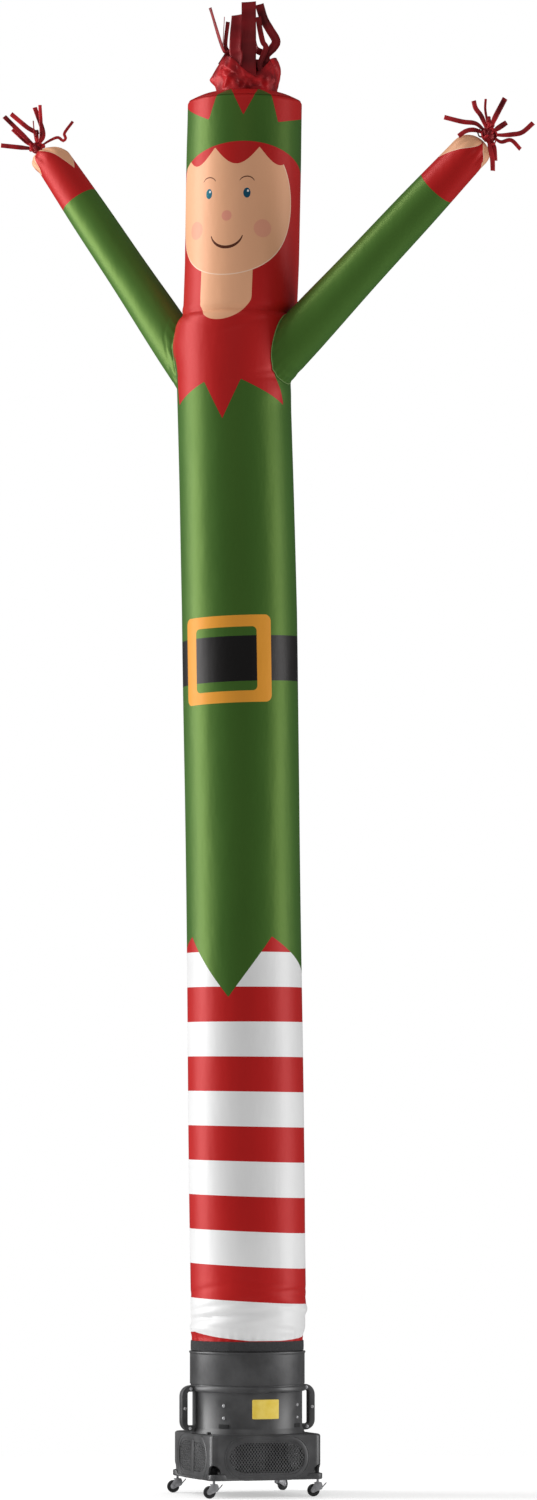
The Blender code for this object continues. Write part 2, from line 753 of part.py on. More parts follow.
def build_crown_streamers():
    """A strip sewn round inside the spout's mouth, and the streamers cut from it."""
    shares = BAND_SHARES
    hidden = CLOTH + BAND_GAP
    inner = hidden + CLOTH
    outside = [[spout_place(b, s, hidden) for b in spout_bearings()] for s in shares]
    inside = [[spout_place(b, s, inner) for b in spout_bearings()] for s in reversed(shares)]
    mesh_data = bmesh.new()
    rows = skin_rings(mesh_data, outside + inside, closed=True)
    mouth = spout_middle()
    mouth.z = SPOUT_TOP
    for bearing, count, width, *steps in CROWN_STREAMERS:
        first = round(bearing / 360.0 * SPOUT_SIDES - count / 2) % SPOUT_SIDES
        picks = [(first + k) % SPOUT_SIDES for k in range(count + 1)]
        outer_row = [rows[len(shares) - 1][k] for k in picks]
        inner_row = [rows[len(shares)][k] for k in picks]
        for k in range(count):
            corners = {outer_row[k], outer_row[k + 1], inner_row[k], inner_row[k + 1]}
            lid = next(f for f in outer_row[k].link_faces if set(f.verts) == corners)
            mesh_data.faces.remove(lid)
        root = sum((v.co for v in outer_row + inner_row), Vector()) / (2 * len(outer_row))
        clear_of_rim = root.lerp(mouth, RIM_LEAN) + Vector((0.0, 0.0, RIM_CLEARANCE))
        places = [clear_of_rim] + [mouth + spread_vector(*step) for step in steps]
        grow_streamer(mesh_data, outer_row, inner_row, places, width)
    return add_object("crown_streamers", mesh_data, "dark_red_satin")


# ---- blower -------------------------------------------------------------------------------------
def build_strap():
    """Webbing that cinches the hem, with its end lapped over."""
    inner = HEM_RADIUS + GAP
    rings = []
    for z, out in ((STRAP_BOTTOM, 1), (STRAP_TOP, 1), (STRAP_TOP, 0), (STRAP_BOTTOM, 0)):
        ring = []
        for k in range(TUBE_SIDES):
            bearing = 360.0 * k / TUBE_SIDES
            lapped = STRAP_LAP_FROM < (bearing + 180.0) % 360.0 - 180.0 < STRAP_LAP_TO
            thickness = STRAP_THICKNESS + (STRAP_LAP if lapped else 0.0)
            point = heading(bearing) * (inner + out * thickness)
            ring.append(Vector((point.x, point.y, z)))
        rings.append(ring)
    mesh_data = bmesh.new()
    skin_rings(mesh_data, rings, closed=True)
    return add_object("cinch_strap", mesh_data, "black_webbing", location=(AXIS_X, AXIS_Y, 0.0))


def build_collar(frame):
    inside = [(r - WALL, z) for r, z in COLLAR_OUTSIDE[::-1]]
    return add_object("outlet_collar", turned(COLLAR_OUTSIDE + tuple(inside), COLLAR_SIDES),
                      "black_plastic", frame)


def build_base(frame):
    tray = bmesh.new()
    inner = BOX_HALF + GAP
    plate_top = BASE_BOTTOM + BASE_PLATE
    rings = [
        eared_square(BASE_HALF - 0.003, BASE_SIDE - 0.002, BASE_BOTTOM, BASE_BOTTOM),
        eared_square(BASE_HALF, BASE_SIDE, BASE_BOTTOM + 0.004, BASE_BOTTOM + 0.002),
        eared_square(BASE_HALF, BASE_SIDE, BASE_RIM_TOP, BASE_SIDE_TOP),
        eared_square(inner, inner, BASE_RIM_TOP, BASE_SIDE_TOP),
        eared_square(inner, inner, plate_top, plate_top),
    ]
    skin_rings(tray, rings, closed=False)
    return add_object("base_tray", tray, "black_plastic", frame)


def oval_outline(width, height, steps=7):
    """Outline of a slot with round ends, about its own middle."""
    radius = height / 2
    straight = width / 2 - radius
    points = []
    for sign, start in ((1, -math.pi / 2), (-1, math.pi / 2)):
        for k in range(steps + 1):
            angle = start + math.pi * k / steps
            points.append((sign * straight + radius * math.cos(angle), radius * math.sin(angle)))
    return points


def grille_outline(shrink):
    oval = oval_outline(GRILLE_WIDTH - 2 * shrink, GRILLE_HEIGHT - 2 * shrink)
    return [(x, z + GRILLE_MIDDLE) for x, z in oval]


def build_box(frame):
    """Moulded housing: open below, a round air way above, an oval window in each side."""
    shell = bmesh.new()
    bottom = BASE_BOTTOM + BASE_PLATE + GAP
    rings = [
        rounded_square(BOX_HALF, BOX_CORNER, bottom),
        rounded_square(BOX_HALF, BOX_CORNER, BOX_TOP - 0.008),
        rounded_square(BOX_HALF - 0.0025, BOX_CORNER, BOX_TOP - 0.0025),
        rounded_square(BOX_HALF - 0.008, BOX_CORNER, BOX_TOP),
    ]
    skin_rings(shell, rings, closed=False)
    box = add_object("blower_box", shell, "black_plastic", frame)

    cavity = bmesh.new()
    cavity_half = BOX_HALF - 2.5 * WALL
    rings = [
        rounded_square(cavity_half, CAVITY_CORNER, z) for z in (bottom - 0.01, BOX_TOP - WALL)
    ]
    skin_rings(cavity, rings, closed=False)
    combine(box, add_cutter("box_cavity", cavity, frame), "DIFFERENCE")

    duct_profile = ((DUCT_RADIUS, BOX_TOP - 0.02), (DUCT_RADIUS, BOX_TOP + 0.02))
    duct = turned(duct_profile, COLLAR_SIDES, closed=False)
    combine(box, add_cutter("box_duct", duct, frame), "DIFFERENCE")

    for k in range(4):
        window = extruded(grille_outline(-GAP), -BOX_HALF - 0.02, -BOX_HALF + 0.03)
        cutter = add_cutter("box_window_%d" % k, window, frame, turn=90.0 * k)
        combine(box, cutter, "DIFFERENCE")

    reach = BOX_HALF - 0.010
    for name, (sx, sy, _) in CORNERS.items():
        profile = (
            (POCKET_RADIUS, bottom - 0.01),
            (POCKET_RADIUS, POCKET_TOP - POCKET_RADIUS),
            (0.8 * POCKET_RADIUS, POCKET_TOP - 0.4 * POCKET_RADIUS),
            (0.3 * POCKET_RADIUS, POCKET_TOP),
        )
        pocket = turned(profile, 12, closed=False)
        place = (sx * reach, sy * reach, 0.0)
        combine(box, add_cutter("box_pocket_" + name, pocket, frame, place), "DIFFERENCE")
    return box


def grille_hole_places(with_rib):
    """Middles of the diamond holes that lie whole inside the plate."""
    radius = GRILLE_HEIGHT / 2 - GRILLE_HOLE - 0.004
    straight = GRILLE_WIDTH / 2 - GRILLE_HEIGHT / 2
    places = []
    for row in range(-3, 4):
        z = row * GRILLE_PITCH / 2
        for column in range(-5, 6):
            x = (column + 0.5 * (row % 2)) * GRILLE_PITCH
            beyond = max(abs(x) - straight, 0.0)
            in_rib = with_rib and abs(x) < GRILLE_RIB / 2 + GRILLE_HOLE
            if math.hypot(beyond, z) <= radius and not in_rib:
                places.append((x, z))
    return places


def build_grille(frame, name, turn, with_rib):
    front = -BOX_HALF + GRILLE_INSET
    plate = add_object(name, extruded(grille_outline(0.0), front, front + GRILLE_THICKNESS),
                       "black_plastic", frame, turn=turn)
    holes = bmesh.new()
    for x, z in grille_hole_places(with_rib):
        diamond = [
            (x + GRILLE_HOLE, z + GRILLE_MIDDLE), (x, z + GRILLE_MIDDLE + GRILLE_HOLE),
            (x - GRILLE_HOLE, z + GRILLE_MIDDLE), (x, z + GRILLE_MIDDLE - GRILLE_HOLE),
        ]
        rings = [[Vector((px, y, pz)) for px, pz in diamond]
                 for y in (front - 0.01, front + GRILLE_THICKNESS + 0.01)]
        skin_rings(holes, rings, closed=False)
    combine(plate, add_cutter(name + "_holes", holes, frame, turn=turn), "DIFFERENCE")
    if with_rib:
        z0 = GRILLE_MIDDLE - GRILLE_HEIGHT / 2 + 0.001
        z1 = GRILLE_MIDDLE + GRILLE_HEIGHT / 2 - 0.001
        rib = block(-GRILLE_RIB / 2, GRILLE_RIB / 2, front - 0.004, front + 0.001, z0, z1)
        combine(plate, add_cutter(name + "_rib", rib, frame, turn=turn), "UNION")
    return plate


def build_handle(frame, name, sign):
    """Bail bolted to the barrel's side, with room for a hand behind its upright bar."""
    foot = BARREL_RADIUS + GAP
    far = HANDLE_OUTER
    outer = [
        (0.2312, HANDLE_TOP), (far - 0.038, HANDLE_TOP), (far - 0.022, HANDLE_TOP - 0.004),
        (far - 0.010, HANDLE_TOP - 0.013), (far - 0.003, HANDLE_TOP - 0.026),
        (far, HANDLE_TOP - 0.042), (far, HANDLE_BOTTOM + 0.044),
        (far - 0.003, HANDLE_BOTTOM + 0.027), (far - 0.010, HANDLE_BOTTOM + 0.013),
        (far - 0.021, HANDLE_BOTTOM + 0.003), (far - 0.034, HANDLE_BOTTOM),
        (0.2295, HANDLE_BOTTOM), (0.2280, 0.258), (foot + 0.002, 0.274), (foot + 0.001, 0.276),
        (foot + 0.001, 0.4075), (0.2312, 0.4085),
    ]
    hole_inner = foot + WALL
    hole_outer = HANDLE_OUTER - HANDLE_BAR
    low = HANDLE_BOTTOM + HANDLE_ARM
    high = HANDLE_TOP - HANDLE_ARM
    round_off = 0.006
    hole = [
        (hole_inner, low), (hole_outer - round_off, low), (hole_outer, low + round_off),
        (hole_outer, high - round_off), (hole_outer - round_off, high), (hole_inner, high),
    ]
    half = HANDLE_DEPTH / 2
    outline = [(sign * r, z) for r, z in outer]
    bail = add_object(name, extruded(outline, -half, half), "black_plastic", frame)
    gap = extruded([(sign * r, z) for r, z in hole], -half - 0.01, half + 0.01)
    combine(bail, add_cutter(name + "_gap", gap, frame), "DIFFERENCE")
    return bail


def button_mesh(radius, height):
    """Low domed head standing on Z = 0."""
    profile = ((radius, 0.0), (radius, 0.6 * height), (0.6 * radius, height))
    return turned(profile, 8, closed=False)


def build_bolts(frame):
    for corner in range(4):
        angle = 45.0 + 90.0 * corner
        out = heading(angle)
        for level, z in enumerate(BARREL_BOLT_HEIGHTS):
            bolt = add_object("barrel_bolt_%d%d" % (corner, level),
                              button_mesh(BOLT_RADIUS, BOLT_HEAD), "zinc_steel", frame)
            place = out * (BARREL_RADIUS + GAP)
            bolt.location = (place.x, place.y, z)
            bolt.rotation_euler = (math.radians(90.0), 0.0, math.radians(angle))
    for name, sign in (("left", -1), ("right", 1)):
        for k, (radius, z) in enumerate(HANDLE_BOLTS):
            bolt = add_object("handle_bolt_%s_%d" % (name, k),
                              button_mesh(BOLT_RADIUS, BOLT_HEAD), "zinc_steel", frame)
            bolt.location = (sign * radius, -HANDLE_DEPTH / 2 - GAP, z)
            bolt.rotation_euler = (math.radians(90.0), 0.0, 0.0)
    for name, (sx, sy, _) in CORNERS.items():
        reach = BOX_HALF - 0.014
        nut = turned(((NUT_RADIUS, 0.0), (NUT_RADIUS, NUT_HEIGHT)), 6, closed=False)
        place = (sx * reach, sy * reach, BASE_BOTTOM + BASE_PLATE + GAP)
        add_object("corner_nut_" + name, nut, "zinc_steel", frame, place)


def build_label(frame):
    """Bare plate bent round the front of the barrel."""
    inner = BARREL_RADIUS + GAP
    half_turn = math.degrees(LABEL_WIDTH / 2 / inner)
    steps = 10
    rings = []
    for k in range(steps + 1):
        out = heading(-half_turn + 2 * half_turn * k / steps)
        rings.append([
            Vector((out.x * r, out.y * r, z))
            for r, z in (
                (inner, LABEL_BOTTOM), (inner + LABEL_THICKNESS, LABEL_BOTTOM),
                (inner + LABEL_THICKNESS, LABEL_TOP), (inner, LABEL_TOP),
            )
        ])
    mesh_data = bmesh.new()
    skin_rings(mesh_data, rings, closed=False)
    return add_object("label_plate", mesh_data, "yellow_label", frame)


def build_motor(frame):
    """Fan motor on its pedestal in the middle of the housing."""
    floor = BASE_BOTTOM + BASE_PLATE + GAP
    profile = (
        (0.058, floor), (0.058, floor + 0.010), (0.045, floor + 0.018), (MOTOR_RADIUS, floor + 0.028),
        (MOTOR_RADIUS, MOTOR_TOP - 0.020), (0.052, MOTOR_TOP - 0.006), (0.016, MOTOR_TOP),
    )
    return add_object("fan_motor", turned(profile, 24, closed=False), "motor_steel", frame)


def build_knob(frame):
    profile = ((KNOB_RADIUS, 0.0), (KNOB_RADIUS, 0.7 * KNOB_HEIGHT), (0.7 * KNOB_RADIUS, KNOB_HEIGHT))
    return add_object("top_knob", turned(profile, 12, closed=False), "grey_plastic", frame,
                      (KNOB_PLACE[0], KNOB_PLACE[1], BOX_TOP + GAP))


# ---- casters ------------------------------------------------------------------------------------
def build_fork(stem, name):
    """Swivelling fork: round head, two cheeks and the axle between them."""
    profile = (
        (FORK_HEAD_RADIUS, FORK_HEAD_BOTTOM), (FORK_HEAD_RADIUS, FORK_HEAD_TOP - 0.001),
        (FORK_HEAD_RADIUS - 0.004, FORK_HEAD_TOP), (STEM_RADIUS, FORK_HEAD_TOP),
        (STEM_RADIUS, BASE_BOTTOM - GAP),
    )
    head = turned(profile, 12, closed=False)
    fork = add_object("fork_" + name, head, "zinc_steel", stem)
    inner = FORK_GAP / 2
    outline = (
        (-0.010, FORK_HEAD_TOP - 0.0015), (0.011, FORK_HEAD_TOP - 0.0015), (0.019, 0.044),
        (0.0185, 0.030), (-TRAIL + 0.008, 0.017), (-TRAIL, 0.0145), (-TRAIL - 0.008, 0.018),
        (-TRAIL - 0.008, 0.029), (-TRAIL - 0.002, 0.040),
    )
    for k, side in enumerate((-1, 1)):
        near, far = sorted((side * inner, side * (inner + FORK_PLATE)))
        cheek = extruded([(-x, z) for x, z in outline], near, far)
        combine(fork, add_cutter("cheek_%d_%s" % (k, name), cheek, stem), "UNION")
    axle = turned(((AXLE_RADIUS, -inner - 0.001), (AXLE_RADIUS, inner + 0.001)), 12, closed=False)
    pin = add_cutter("axle_" + name, axle, stem, (TRAIL, 0.0, WHEEL_RADIUS))
    pin.rotation_euler = (math.radians(90.0), 0.0, 0.0)
    combine(fork, pin, "UNION")
    return fork


def build_wheel(stem, name):
    """Tyre and hub in one; it stands on the flat of one of its sides."""
    half = WHEEL_WIDTH / 2
    corner = WHEEL_RADIUS / math.cos(math.pi / WHEEL_SIDES)
    profile = (
        (WHEEL_BORE, -half), (HUB_RADIUS, -half), (HUB_RADIUS + 0.003, -half + 0.002),
        (corner - 0.002, -half), (corner, -half + 0.003),
        (corner, half - 0.003), (corner - 0.002, half),
        (HUB_RADIUS + 0.003, half - 0.002), (HUB_RADIUS, half), (WHEEL_BORE, half),
    )
    mesh_data = turned(profile, WHEEL_SIDES, first=0.5)
    wheel = add_object("wheel_" + name, mesh_data, "black_rubber", stem, (TRAIL, 0.0, WHEEL_RADIUS))
    wheel.rotation_euler = (math.radians(90.0), 0.0, 0.0)
    return wheel


def build_pedal(stem, name):
    """Brake pedal between the cheeks, ahead of the stem, its toe turned up."""
    half = PEDAL_WIDTH / 2
    toe = PEDAL_LENGTH
    outline = (
        (-0.004, -PEDAL_THICKNESS / 2), (toe, -PEDAL_THICKNESS / 2), (toe + 0.002, 0.0),
        (toe, PEDAL_THICKNESS / 2), (-0.004, PEDAL_THICKNESS / 2),
    )
    pedal = add_object("brake_pedal_" + name, extruded([(-x, z) for x, z in outline], -half, half),
                       "zinc_steel", stem)
    ahead, height = PEDAL_PIVOT
    pedal.location = (-ahead, 0.0, height)
    pedal.rotation_euler = (0.0, math.radians(PEDAL_RISE), 0.0)
    return pedal


def build_casters(frame):
    for name, (sx, sy, trail_heading) in CORNERS.items():
        place = (sx * CASTER_REACH, sy * CASTER_REACH, 0.0)
        stem = add_empty("stem_" + name, place, trail_heading, frame)
        build_fork(stem, name)
        build_wheel(stem, name)
        build_pedal(stem, name)


def build_blower():
    frame = add_empty("blower_frame", (AXIS_X, AXIS_Y, 0.0), BLOWER_TURN)
    build_strap()
    build_collar(frame)
    build_base(frame)
    build_box(frame)
    for name, (turn, with_rib) in GRILLE_SIDES.items():
        build_grille(frame, "grille_" + name, turn, with_rib)
    build_handle(frame, "handle_left", -1)
    build_handle(frame, "handle_right", 1)
    build_bolts(frame)
    build_label(frame)
    build_motor(frame)
    build_knob(frame)
    build_casters(frame)


def build_dancer():
    build_body_tube()
    for side in ARMS:
        build_arm(side)
        build_hand_streamers(side)
    build_cap()
    build_spout()
    build_crown_streamers()


clear_scene()
build_dancer()
build_blower()
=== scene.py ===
"""Looks of the inflatable air dancer on its blower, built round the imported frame.

Metres, +Z up.  The dancer faces -Y.  A bearing is an angle in degrees seen from above, 0 towards
-Y and 90 towards +X.  Cloth carries a UV map: bearing or angle in degrees, and metres along.
"""

import math

import bmesh
import bpy
import numpy as np
from mathutils import Matrix, Vector


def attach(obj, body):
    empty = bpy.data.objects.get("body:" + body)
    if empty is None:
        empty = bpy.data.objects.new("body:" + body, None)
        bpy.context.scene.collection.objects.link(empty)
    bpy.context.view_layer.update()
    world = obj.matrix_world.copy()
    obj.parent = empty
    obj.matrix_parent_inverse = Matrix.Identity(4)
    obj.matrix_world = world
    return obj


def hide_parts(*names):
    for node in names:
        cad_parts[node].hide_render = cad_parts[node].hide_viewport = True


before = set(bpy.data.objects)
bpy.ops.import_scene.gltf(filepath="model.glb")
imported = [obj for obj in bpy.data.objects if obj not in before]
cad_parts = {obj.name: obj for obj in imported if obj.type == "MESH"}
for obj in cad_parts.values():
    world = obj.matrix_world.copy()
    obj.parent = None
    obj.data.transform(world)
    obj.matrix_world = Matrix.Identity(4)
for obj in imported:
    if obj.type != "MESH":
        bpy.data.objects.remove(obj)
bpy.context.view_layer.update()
BODY = "dancer"
DEGREE = math.radians(1.0)
MM = 0.001

# ---- sizes shared with the solids -----------------------------------------------------------
AXIS_X, AXIS_Y = -0.056, -0.022
SPREAD_TURN = 12.0          # bearing of the arms' plane
BLOWER_TURN = 32.0
SKIN = 0.0008               # nylon as shown
TUBE_RADIUS = 0.2286
HEM_BOTTOM = 0.571
HEM_RADIUS = 0.2205
HEM_FREE, HEM_FULL = 0.618, 0.664
TUBE_TOP = 5.550
RIM_ROUND = 0.012
CAP_RIM = TUBE_RADIUS - 0.4 * RIM_ROUND
CAP_LIFT = 0.0018
CAP_RISE = 0.034
CAP_HOLE = 0.102
SPOUT_FOOT = 0.120
SPOUT_SHIFT = 0.008
SPOUT_TOP = 5.738
ROUND_METRE = DEGREE * TUBE_RADIUS          # metres round the tube in one degree

# Sideways lean of the tube: height, shift along +X.
LEAN = (
    (0.62, 0), (0.8, 0.004), (1.05, 0), (1.4, -0.005), (2.1, -0.013), (2.8, -0.021), (3.5, -0.032),
    (4, -0.045), (4.4, -0.057), (4.65, -0.056), (4.73, -0.03), (4.9, -0.023), (5.3, -0.015),
    (5.6, -0.01),
)

# Soft folds in the tube: height, bearing, climb per metre round, depth, half height, half length.
TUBE_FOLDS = (
    (4.692, 0, 0, 0.011, 0.013, 9), (4.57, -90, 0, -0.019, 0.075, 0.12),
    (4.6, 62, 0, -0.008, 0.09, 0.1), (4.38, 70, 0, -0.006, 0.04, 0.1),
    (0.705, -28, 0.11, 0.008, 0.013, 0.25), (0.672, -30, 0.1, -0.006, 0.014, 0.24),
    (0.748, 48, -0.12, 0.005, 0.012, 0.1), (0.73, 98, 0, -0.008, 0.02, 0.1),
    (0.69, 150, -0.1, 0.007, 0.015, 0.22), (0.735, -140, 0.08, 0.006, 0.015, 0.18),
)

# Small creases that only show close up, in the same columns.
TUBE_CREASES = (
    (4.655, 40, 0.28, 0.003, 0.008, 0.14), (4.455, 52, 0.18, 0.0028, 0.01, 0.12),
    (4.425, 46, 0.1, 0.0022, 0.008, 0.14), (4.672, -46, -0.3, 0.003, 0.008, 0.12),
    (4.47, -84, -0.3, 0.0024, 0.009, 0.1), (4.66, 150, 0.2, 0.003, 0.009, 0.16),
    (4.44, 118, -0.25, 0.0025, 0.01, 0.12), (0.8, -60, 0.16, 0.0028, 0.012, 0.2),
    (0.842, 20, -0.1, 0.002, 0.012, 0.22), (0.655, 60, -0.1, 0.0035, 0.008, 0.16),
    (0.648, -80, 0.12, 0.0035, 0.008, 0.16), (0.82, 170, 0.12, 0.0026, 0.012, 0.24),
    (0.66, -170, -0.1, 0.0035, 0.008, 0.16), (0.742, -34, 0.15, 0.005, 0.01, 0.22),
    (0.704, -38, 0.05, 0.0045, 0.009, 0.2), (0.668, -26, -0.05, 0.0042, 0.009, 0.2),
    (0.808, 64, 0.03, 0.0045, 0.008, 0.14), (0.788, 72, -0.08, 0.0035, 0.007, 0.12),
)

# Bearing, height of the root, climb in degrees, length, radius at the root, radius at the cuff.
ARMS = {
    "left": (-110.0, 4.534, 52.9, 1.135, 0.095, 0.0745),
    "right": (78.0, 4.545, 43.2, 1.155, 0.100, 0.0775),
}
TIP_DOME = 0.085
TIP_DROOP = {"left": 0.026, "right": 0.008}
TIP_BLUNTNESS = 3.0
ARM_LIFT = 0.0020           # an arm's seam stands this far off the tube

# ---- printed costume ------------------------------------------------------------------------
FRONT = -4.0                # bearing of the middle of the print
STRIPE_FOOT = 0.629
STRIPE_PITCH = 0.1376
STRIPE_SAG = (1.85, 0.0122)         # the stripes run lower to the right below this height
BELT = (3.210, 3.390)
BELT_SLOPE = 0.036                  # rise per metre round the tube
BUCKLE_HEIGHT = 3.299
BUCKLE_OUTER = (0.194, 0.173)       # half width, half height
BUCKLE_INNER = (0.132, 0.127)
BUCKLE_CORNER = 0.027
HAT_EDGE = (5.362, 0.110, 12.0)     # height at its highest, fall to the side, bearing there

# Lower edge of the red crown over the green hat band: bearing, height.  Peaks end on the cap.
CROWN_EDGE = (
    (-180, 5.47), (-160, 5.63), (-140, 5.448), (-78, 5.532), (-26, 5.454), (-9.5, 5.634),
    (11, 5.466), (33.5, 5.634), (48, 5.443), (102, 5.484), (142, 5.45), (156, 5.63), (180, 5.47),
)

# Pointed lower edge of the green coat: bearing, height.
SKIRT_EDGE = (
    (-180, 2.02), (-166, 1.966), (-52, 2.204), (-4, 1.964), (41, 2.204), (139, 1.966),
    (162, 2.09), (180, 2.02),
)

# Lower edge of the lowest white stripe, where the slack cloth hangs over the strap.
FOOT_EDGE = (
    (-180, 0.636), (-120, 0.628), (-86, 0.64), (-55, 0.645), (-20, 0.626), (15, 0.612),
    (50, 0.612), (80, 0.62), (102, 0.628), (140, 0.622), (180, 0.636),
)

# Lower edge of the hood's collar: bearing, height.  It runs up to the arms' seams.
COLLAR_EDGE = (
    (-180, 4.3), (-163, 4.425), (-141, 4.335), (-139, 4.68), (-84, 4.68), (-80, 4.5), (-72, 4.53),
    (-66, 4.41), (-61, 4.324), (-18, 4.405), (0, 4.256), (19.5, 4.414), (71, 4.32), (72, 4.68),
    (104, 4.68), (106, 4.345), (141, 4.43), (180, 4.3),
)

# Front edge of the green panel under the right arm: height, bearing.
PANEL_EDGE = ((4.318, 72), (4.44, 58), (4.52, 55), (4.62, 62), (4.69, 100))
PANEL_BACK = 104.0          # bearing of its other edge

# Cuff: distance of its seam from the arm's tip; then the angle that it faces the front at, angle
# of a point, degrees to a notch, slant, bow of its seam; then how far points and notches reach.
CUFF_SEAM = {"left": 0.285, "right": 0.262}
CUFFS = {
    "left": (116.5, 101.0, 60.0, 0.040, 0.012),
    "right": (287.0, 303.0, 90.0, -0.020, 0.004),
}
CUFF_EDGE = (0.000, 0.145)

# ---- colours, linear ------------------------------------------------------------------------
GREEN = (0.038, 0.116, 0.021)
# Sleeve green: the coat's green made lighter, painted light for the light that falls on the arms.
SLEEVE_GREEN_LIT = (0.056, 0.152, 0.028)
RED = (0.475, 0.0085, 0.0080)
WHITE = (0.800, 0.800, 0.800)
SKIN_TONE = (0.820, 0.425, 0.240)
SKIN_EDGE = (0.900, 0.620, 0.450)
BLUSH = (0.740, 0.270, 0.205)
BROWN = (0.075, 0.022, 0.010)
EYE_BLUE = (0.018, 0.040, 0.120)
BELT_BLACK = (0.008, 0.0075, 0.0075)
GOLD = (0.780, 0.330, 0.035)
# Near black painted inside the housing's cavity: painted shade.
CAVITY_SHADE = (0.0035, 0.0035, 0.0035)


# ---- shading --------------------------------------------------------------------------------
class Value:
    """A node's output to reckon with.  * joins masks, | takes the larger, ~ turns a mask over."""

    def __init__(self, finish, socket):
        self.finish, self.socket = finish, socket

    def calc(self, operation, *values):
        return self.finish.node("Math", self, *values, operation=operation)

    def __rsub__(self, other):
        return self.finish.node("Math", other, self, operation="SUBTRACT")

    def __invert__(self):
        return 1.0 - self

    def __abs__(self):
        return self.calc("ABSOLUTE")


for method, step in (("add", "ADD"), ("sub", "SUBTRACT"), ("mul", "MULTIPLY"),
                     ("truediv", "DIVIDE"), ("gt", "GREATER_THAN"), ("lt", "LESS_THAN"),
                     ("or", "MAXIMUM")):
    setattr(Value, "__%s__" % method, lambda a, b, step=step: a.calc(step, b))


class Finish:
    """Short hand for the node tree of one material."""

    def __init__(self, name, roughness, **values):
        self.material = bpy.data.materials.new(name)
        self.material.use_nodes = True
        self.tree = self.material.node_tree
        self.shader = self.tree.nodes["Principled BSDF"]
        self.set("Roughness", roughness)
        for key, value in values.items():
            self.set(key.title(), value)

    def set(self, name, value):
        self.plug(value, self.shader.inputs[name])

    def plug(self, value, socket):
        if isinstance(value, Value):
            self.tree.links.new(value.socket, socket)
        elif isinstance(value, tuple) and len(value) < len(socket.default_value):
            socket.default_value = (*value, 1.0)
        else:
            socket.default_value = value

    def nodes(self, kind, *values, **settings):
        """All outputs of a new node with these values at its inputs."""
        made = self.tree.nodes.new("ShaderNode" + kind)
        for key, value in settings.items():
            setattr(made, key, value)
        for socket, value in zip(made.inputs, values):
            if value is not None:
                self.plug(value, socket)
        return [Value(self, socket) for socket in made.outputs]

    def node(self, kind, *values, **settings):
        return self.nodes(kind, *values, **settings)[0]

    def mix(self, share, a, b):
        return self.nodes("Mix", share, *[None] * 5, a, b, data_type="RGBA")[2]

    def uv(self):
        return self.nodes("SeparateXYZ", self.node("UVMap"))[:2]

    def place(self, scale=(1.0, 1.0, 1.0)):
        """The point on the surface in the object's own metres, stretched by scale."""
        spot = self.nodes("TexCoord")[3]
        return self.node("VectorMath", spot, scale, operation="MULTIPLY")

    def noise(self, vector, scale, detail=3.0, roughness=0.5):
        return self.node("TexNoise", vector, None, scale, detail, roughness)

    def remap(self, value, *limits):
        return self.node("MapRange", value, *limits)

    def blend(self, value, low, high, a, b):
        """From colour a where value is low to colour b where it is high."""
        return self.mix(self.remap(value, low, high, 0.0, 1.0), a, b)

    def line(self, value, table):
        """Height of a bent line at value, from rows of (value, height)."""
        xs, ys = zip(*table)
        low, high = min(ys), max(ys)
        curve = self.tree.nodes.new("ShaderNodeFloatCurve")
        points = curve.mapping.curves[0].points
        for x, y in table[1:-1]:
            points.new((x - xs[0]) / (xs[-1] - xs[0]), (y - low) / (high - low))
        points[0].location = (0.0, (ys[0] - low) / (high - low))
        points[len(points) - 1].location = (1.0, (ys[-1] - low) / (high - low))
        for point in points:
            point.handle_type = "VECTOR"
        curve.mapping.update()
        self.plug(self.remap(value, xs[0], xs[-1], 0.0, 1.0), curve.inputs["Value"])
        return self.remap(Value(self, curve.outputs[0]), 0.0, 1.0, low, high)

    def oval(self, x, y, middle, halves):
        """Mask of an upright oval."""
        dx = (x - middle[0]) / halves[0]
        dy = (y - middle[1]) / halves[1]
        return dx * dx + dy * dy < 1.0

    def rounded(self, x, y, halves, corner):
        """Mask of a rectangle with rounded corners about x = y = 0."""
        dx = abs(x) - (halves[0] - corner) | 0.0
        dy = abs(y) - (halves[1] - corner) | 0.0
        return dx * dx + dy * dy < corner * corner

    def bump(self, height, distance, over=None):
        """Relief of the given depth in metres, on top of another relief."""
        made = self.tree.nodes.new("ShaderNodeBump")
        made.inputs["Strength"].default_value = 1.0
        made.inputs["Distance"].default_value = distance
        self.plug(height, made.inputs["Height"])
        if over is not None:
            self.plug(over, made.inputs["Normal"])
        relief = Value(self, made.outputs[0])
        self.set("Normal", relief)
        return relief


def nylon(name, paint, weave=0.00006):
    """Thin coated nylon: paint(finish, across, along) gives its printed colour."""
    finish = Finish(name, 0.42)
    across, along = finish.uv()
    cloud = finish.noise(finish.place((1.0, 1.0, 0.45)), 5.0)
    tone = finish.remap(cloud, 0.25, 0.75, -0.05, 0.05)
    colour = paint(finish, across, along)
    shade = finish.node("HueSaturation", None, None, tone + 1.0, None, colour)
    finish.set("Base Color", shade)
    hue, much, bright = finish.nodes("SeparateColor", shade, mode="HSV")
    gleam = finish.node("CombineColor", hue * 0.78, much * (hue * 0.6 + 0.80),
                        finish.remap(bright, 0.008, 0.05, 0.45, 1.0), mode="HSV")
    finish.set("Specular IOR Level", 1.0)
    finish.set("Specular Tint", gleam)
    finish.set("Roughness", finish.remap(cloud, 0.2, 0.8, 0.40, 0.47))
    threads = ((across * (2 * math.pi * ROUND_METRE / 0.0045)).calc("SINE")
               * (along * (2 * math.pi / 0.0045)).calc("SINE"))
    soft = finish.noise(finish.place((1.0, 1.0, 0.35)), 7.0, 4.0, 0.55)
    finish.bump(soft, 0.0016 * 2.2, over=finish.bump(threads, weave))
    return finish.material


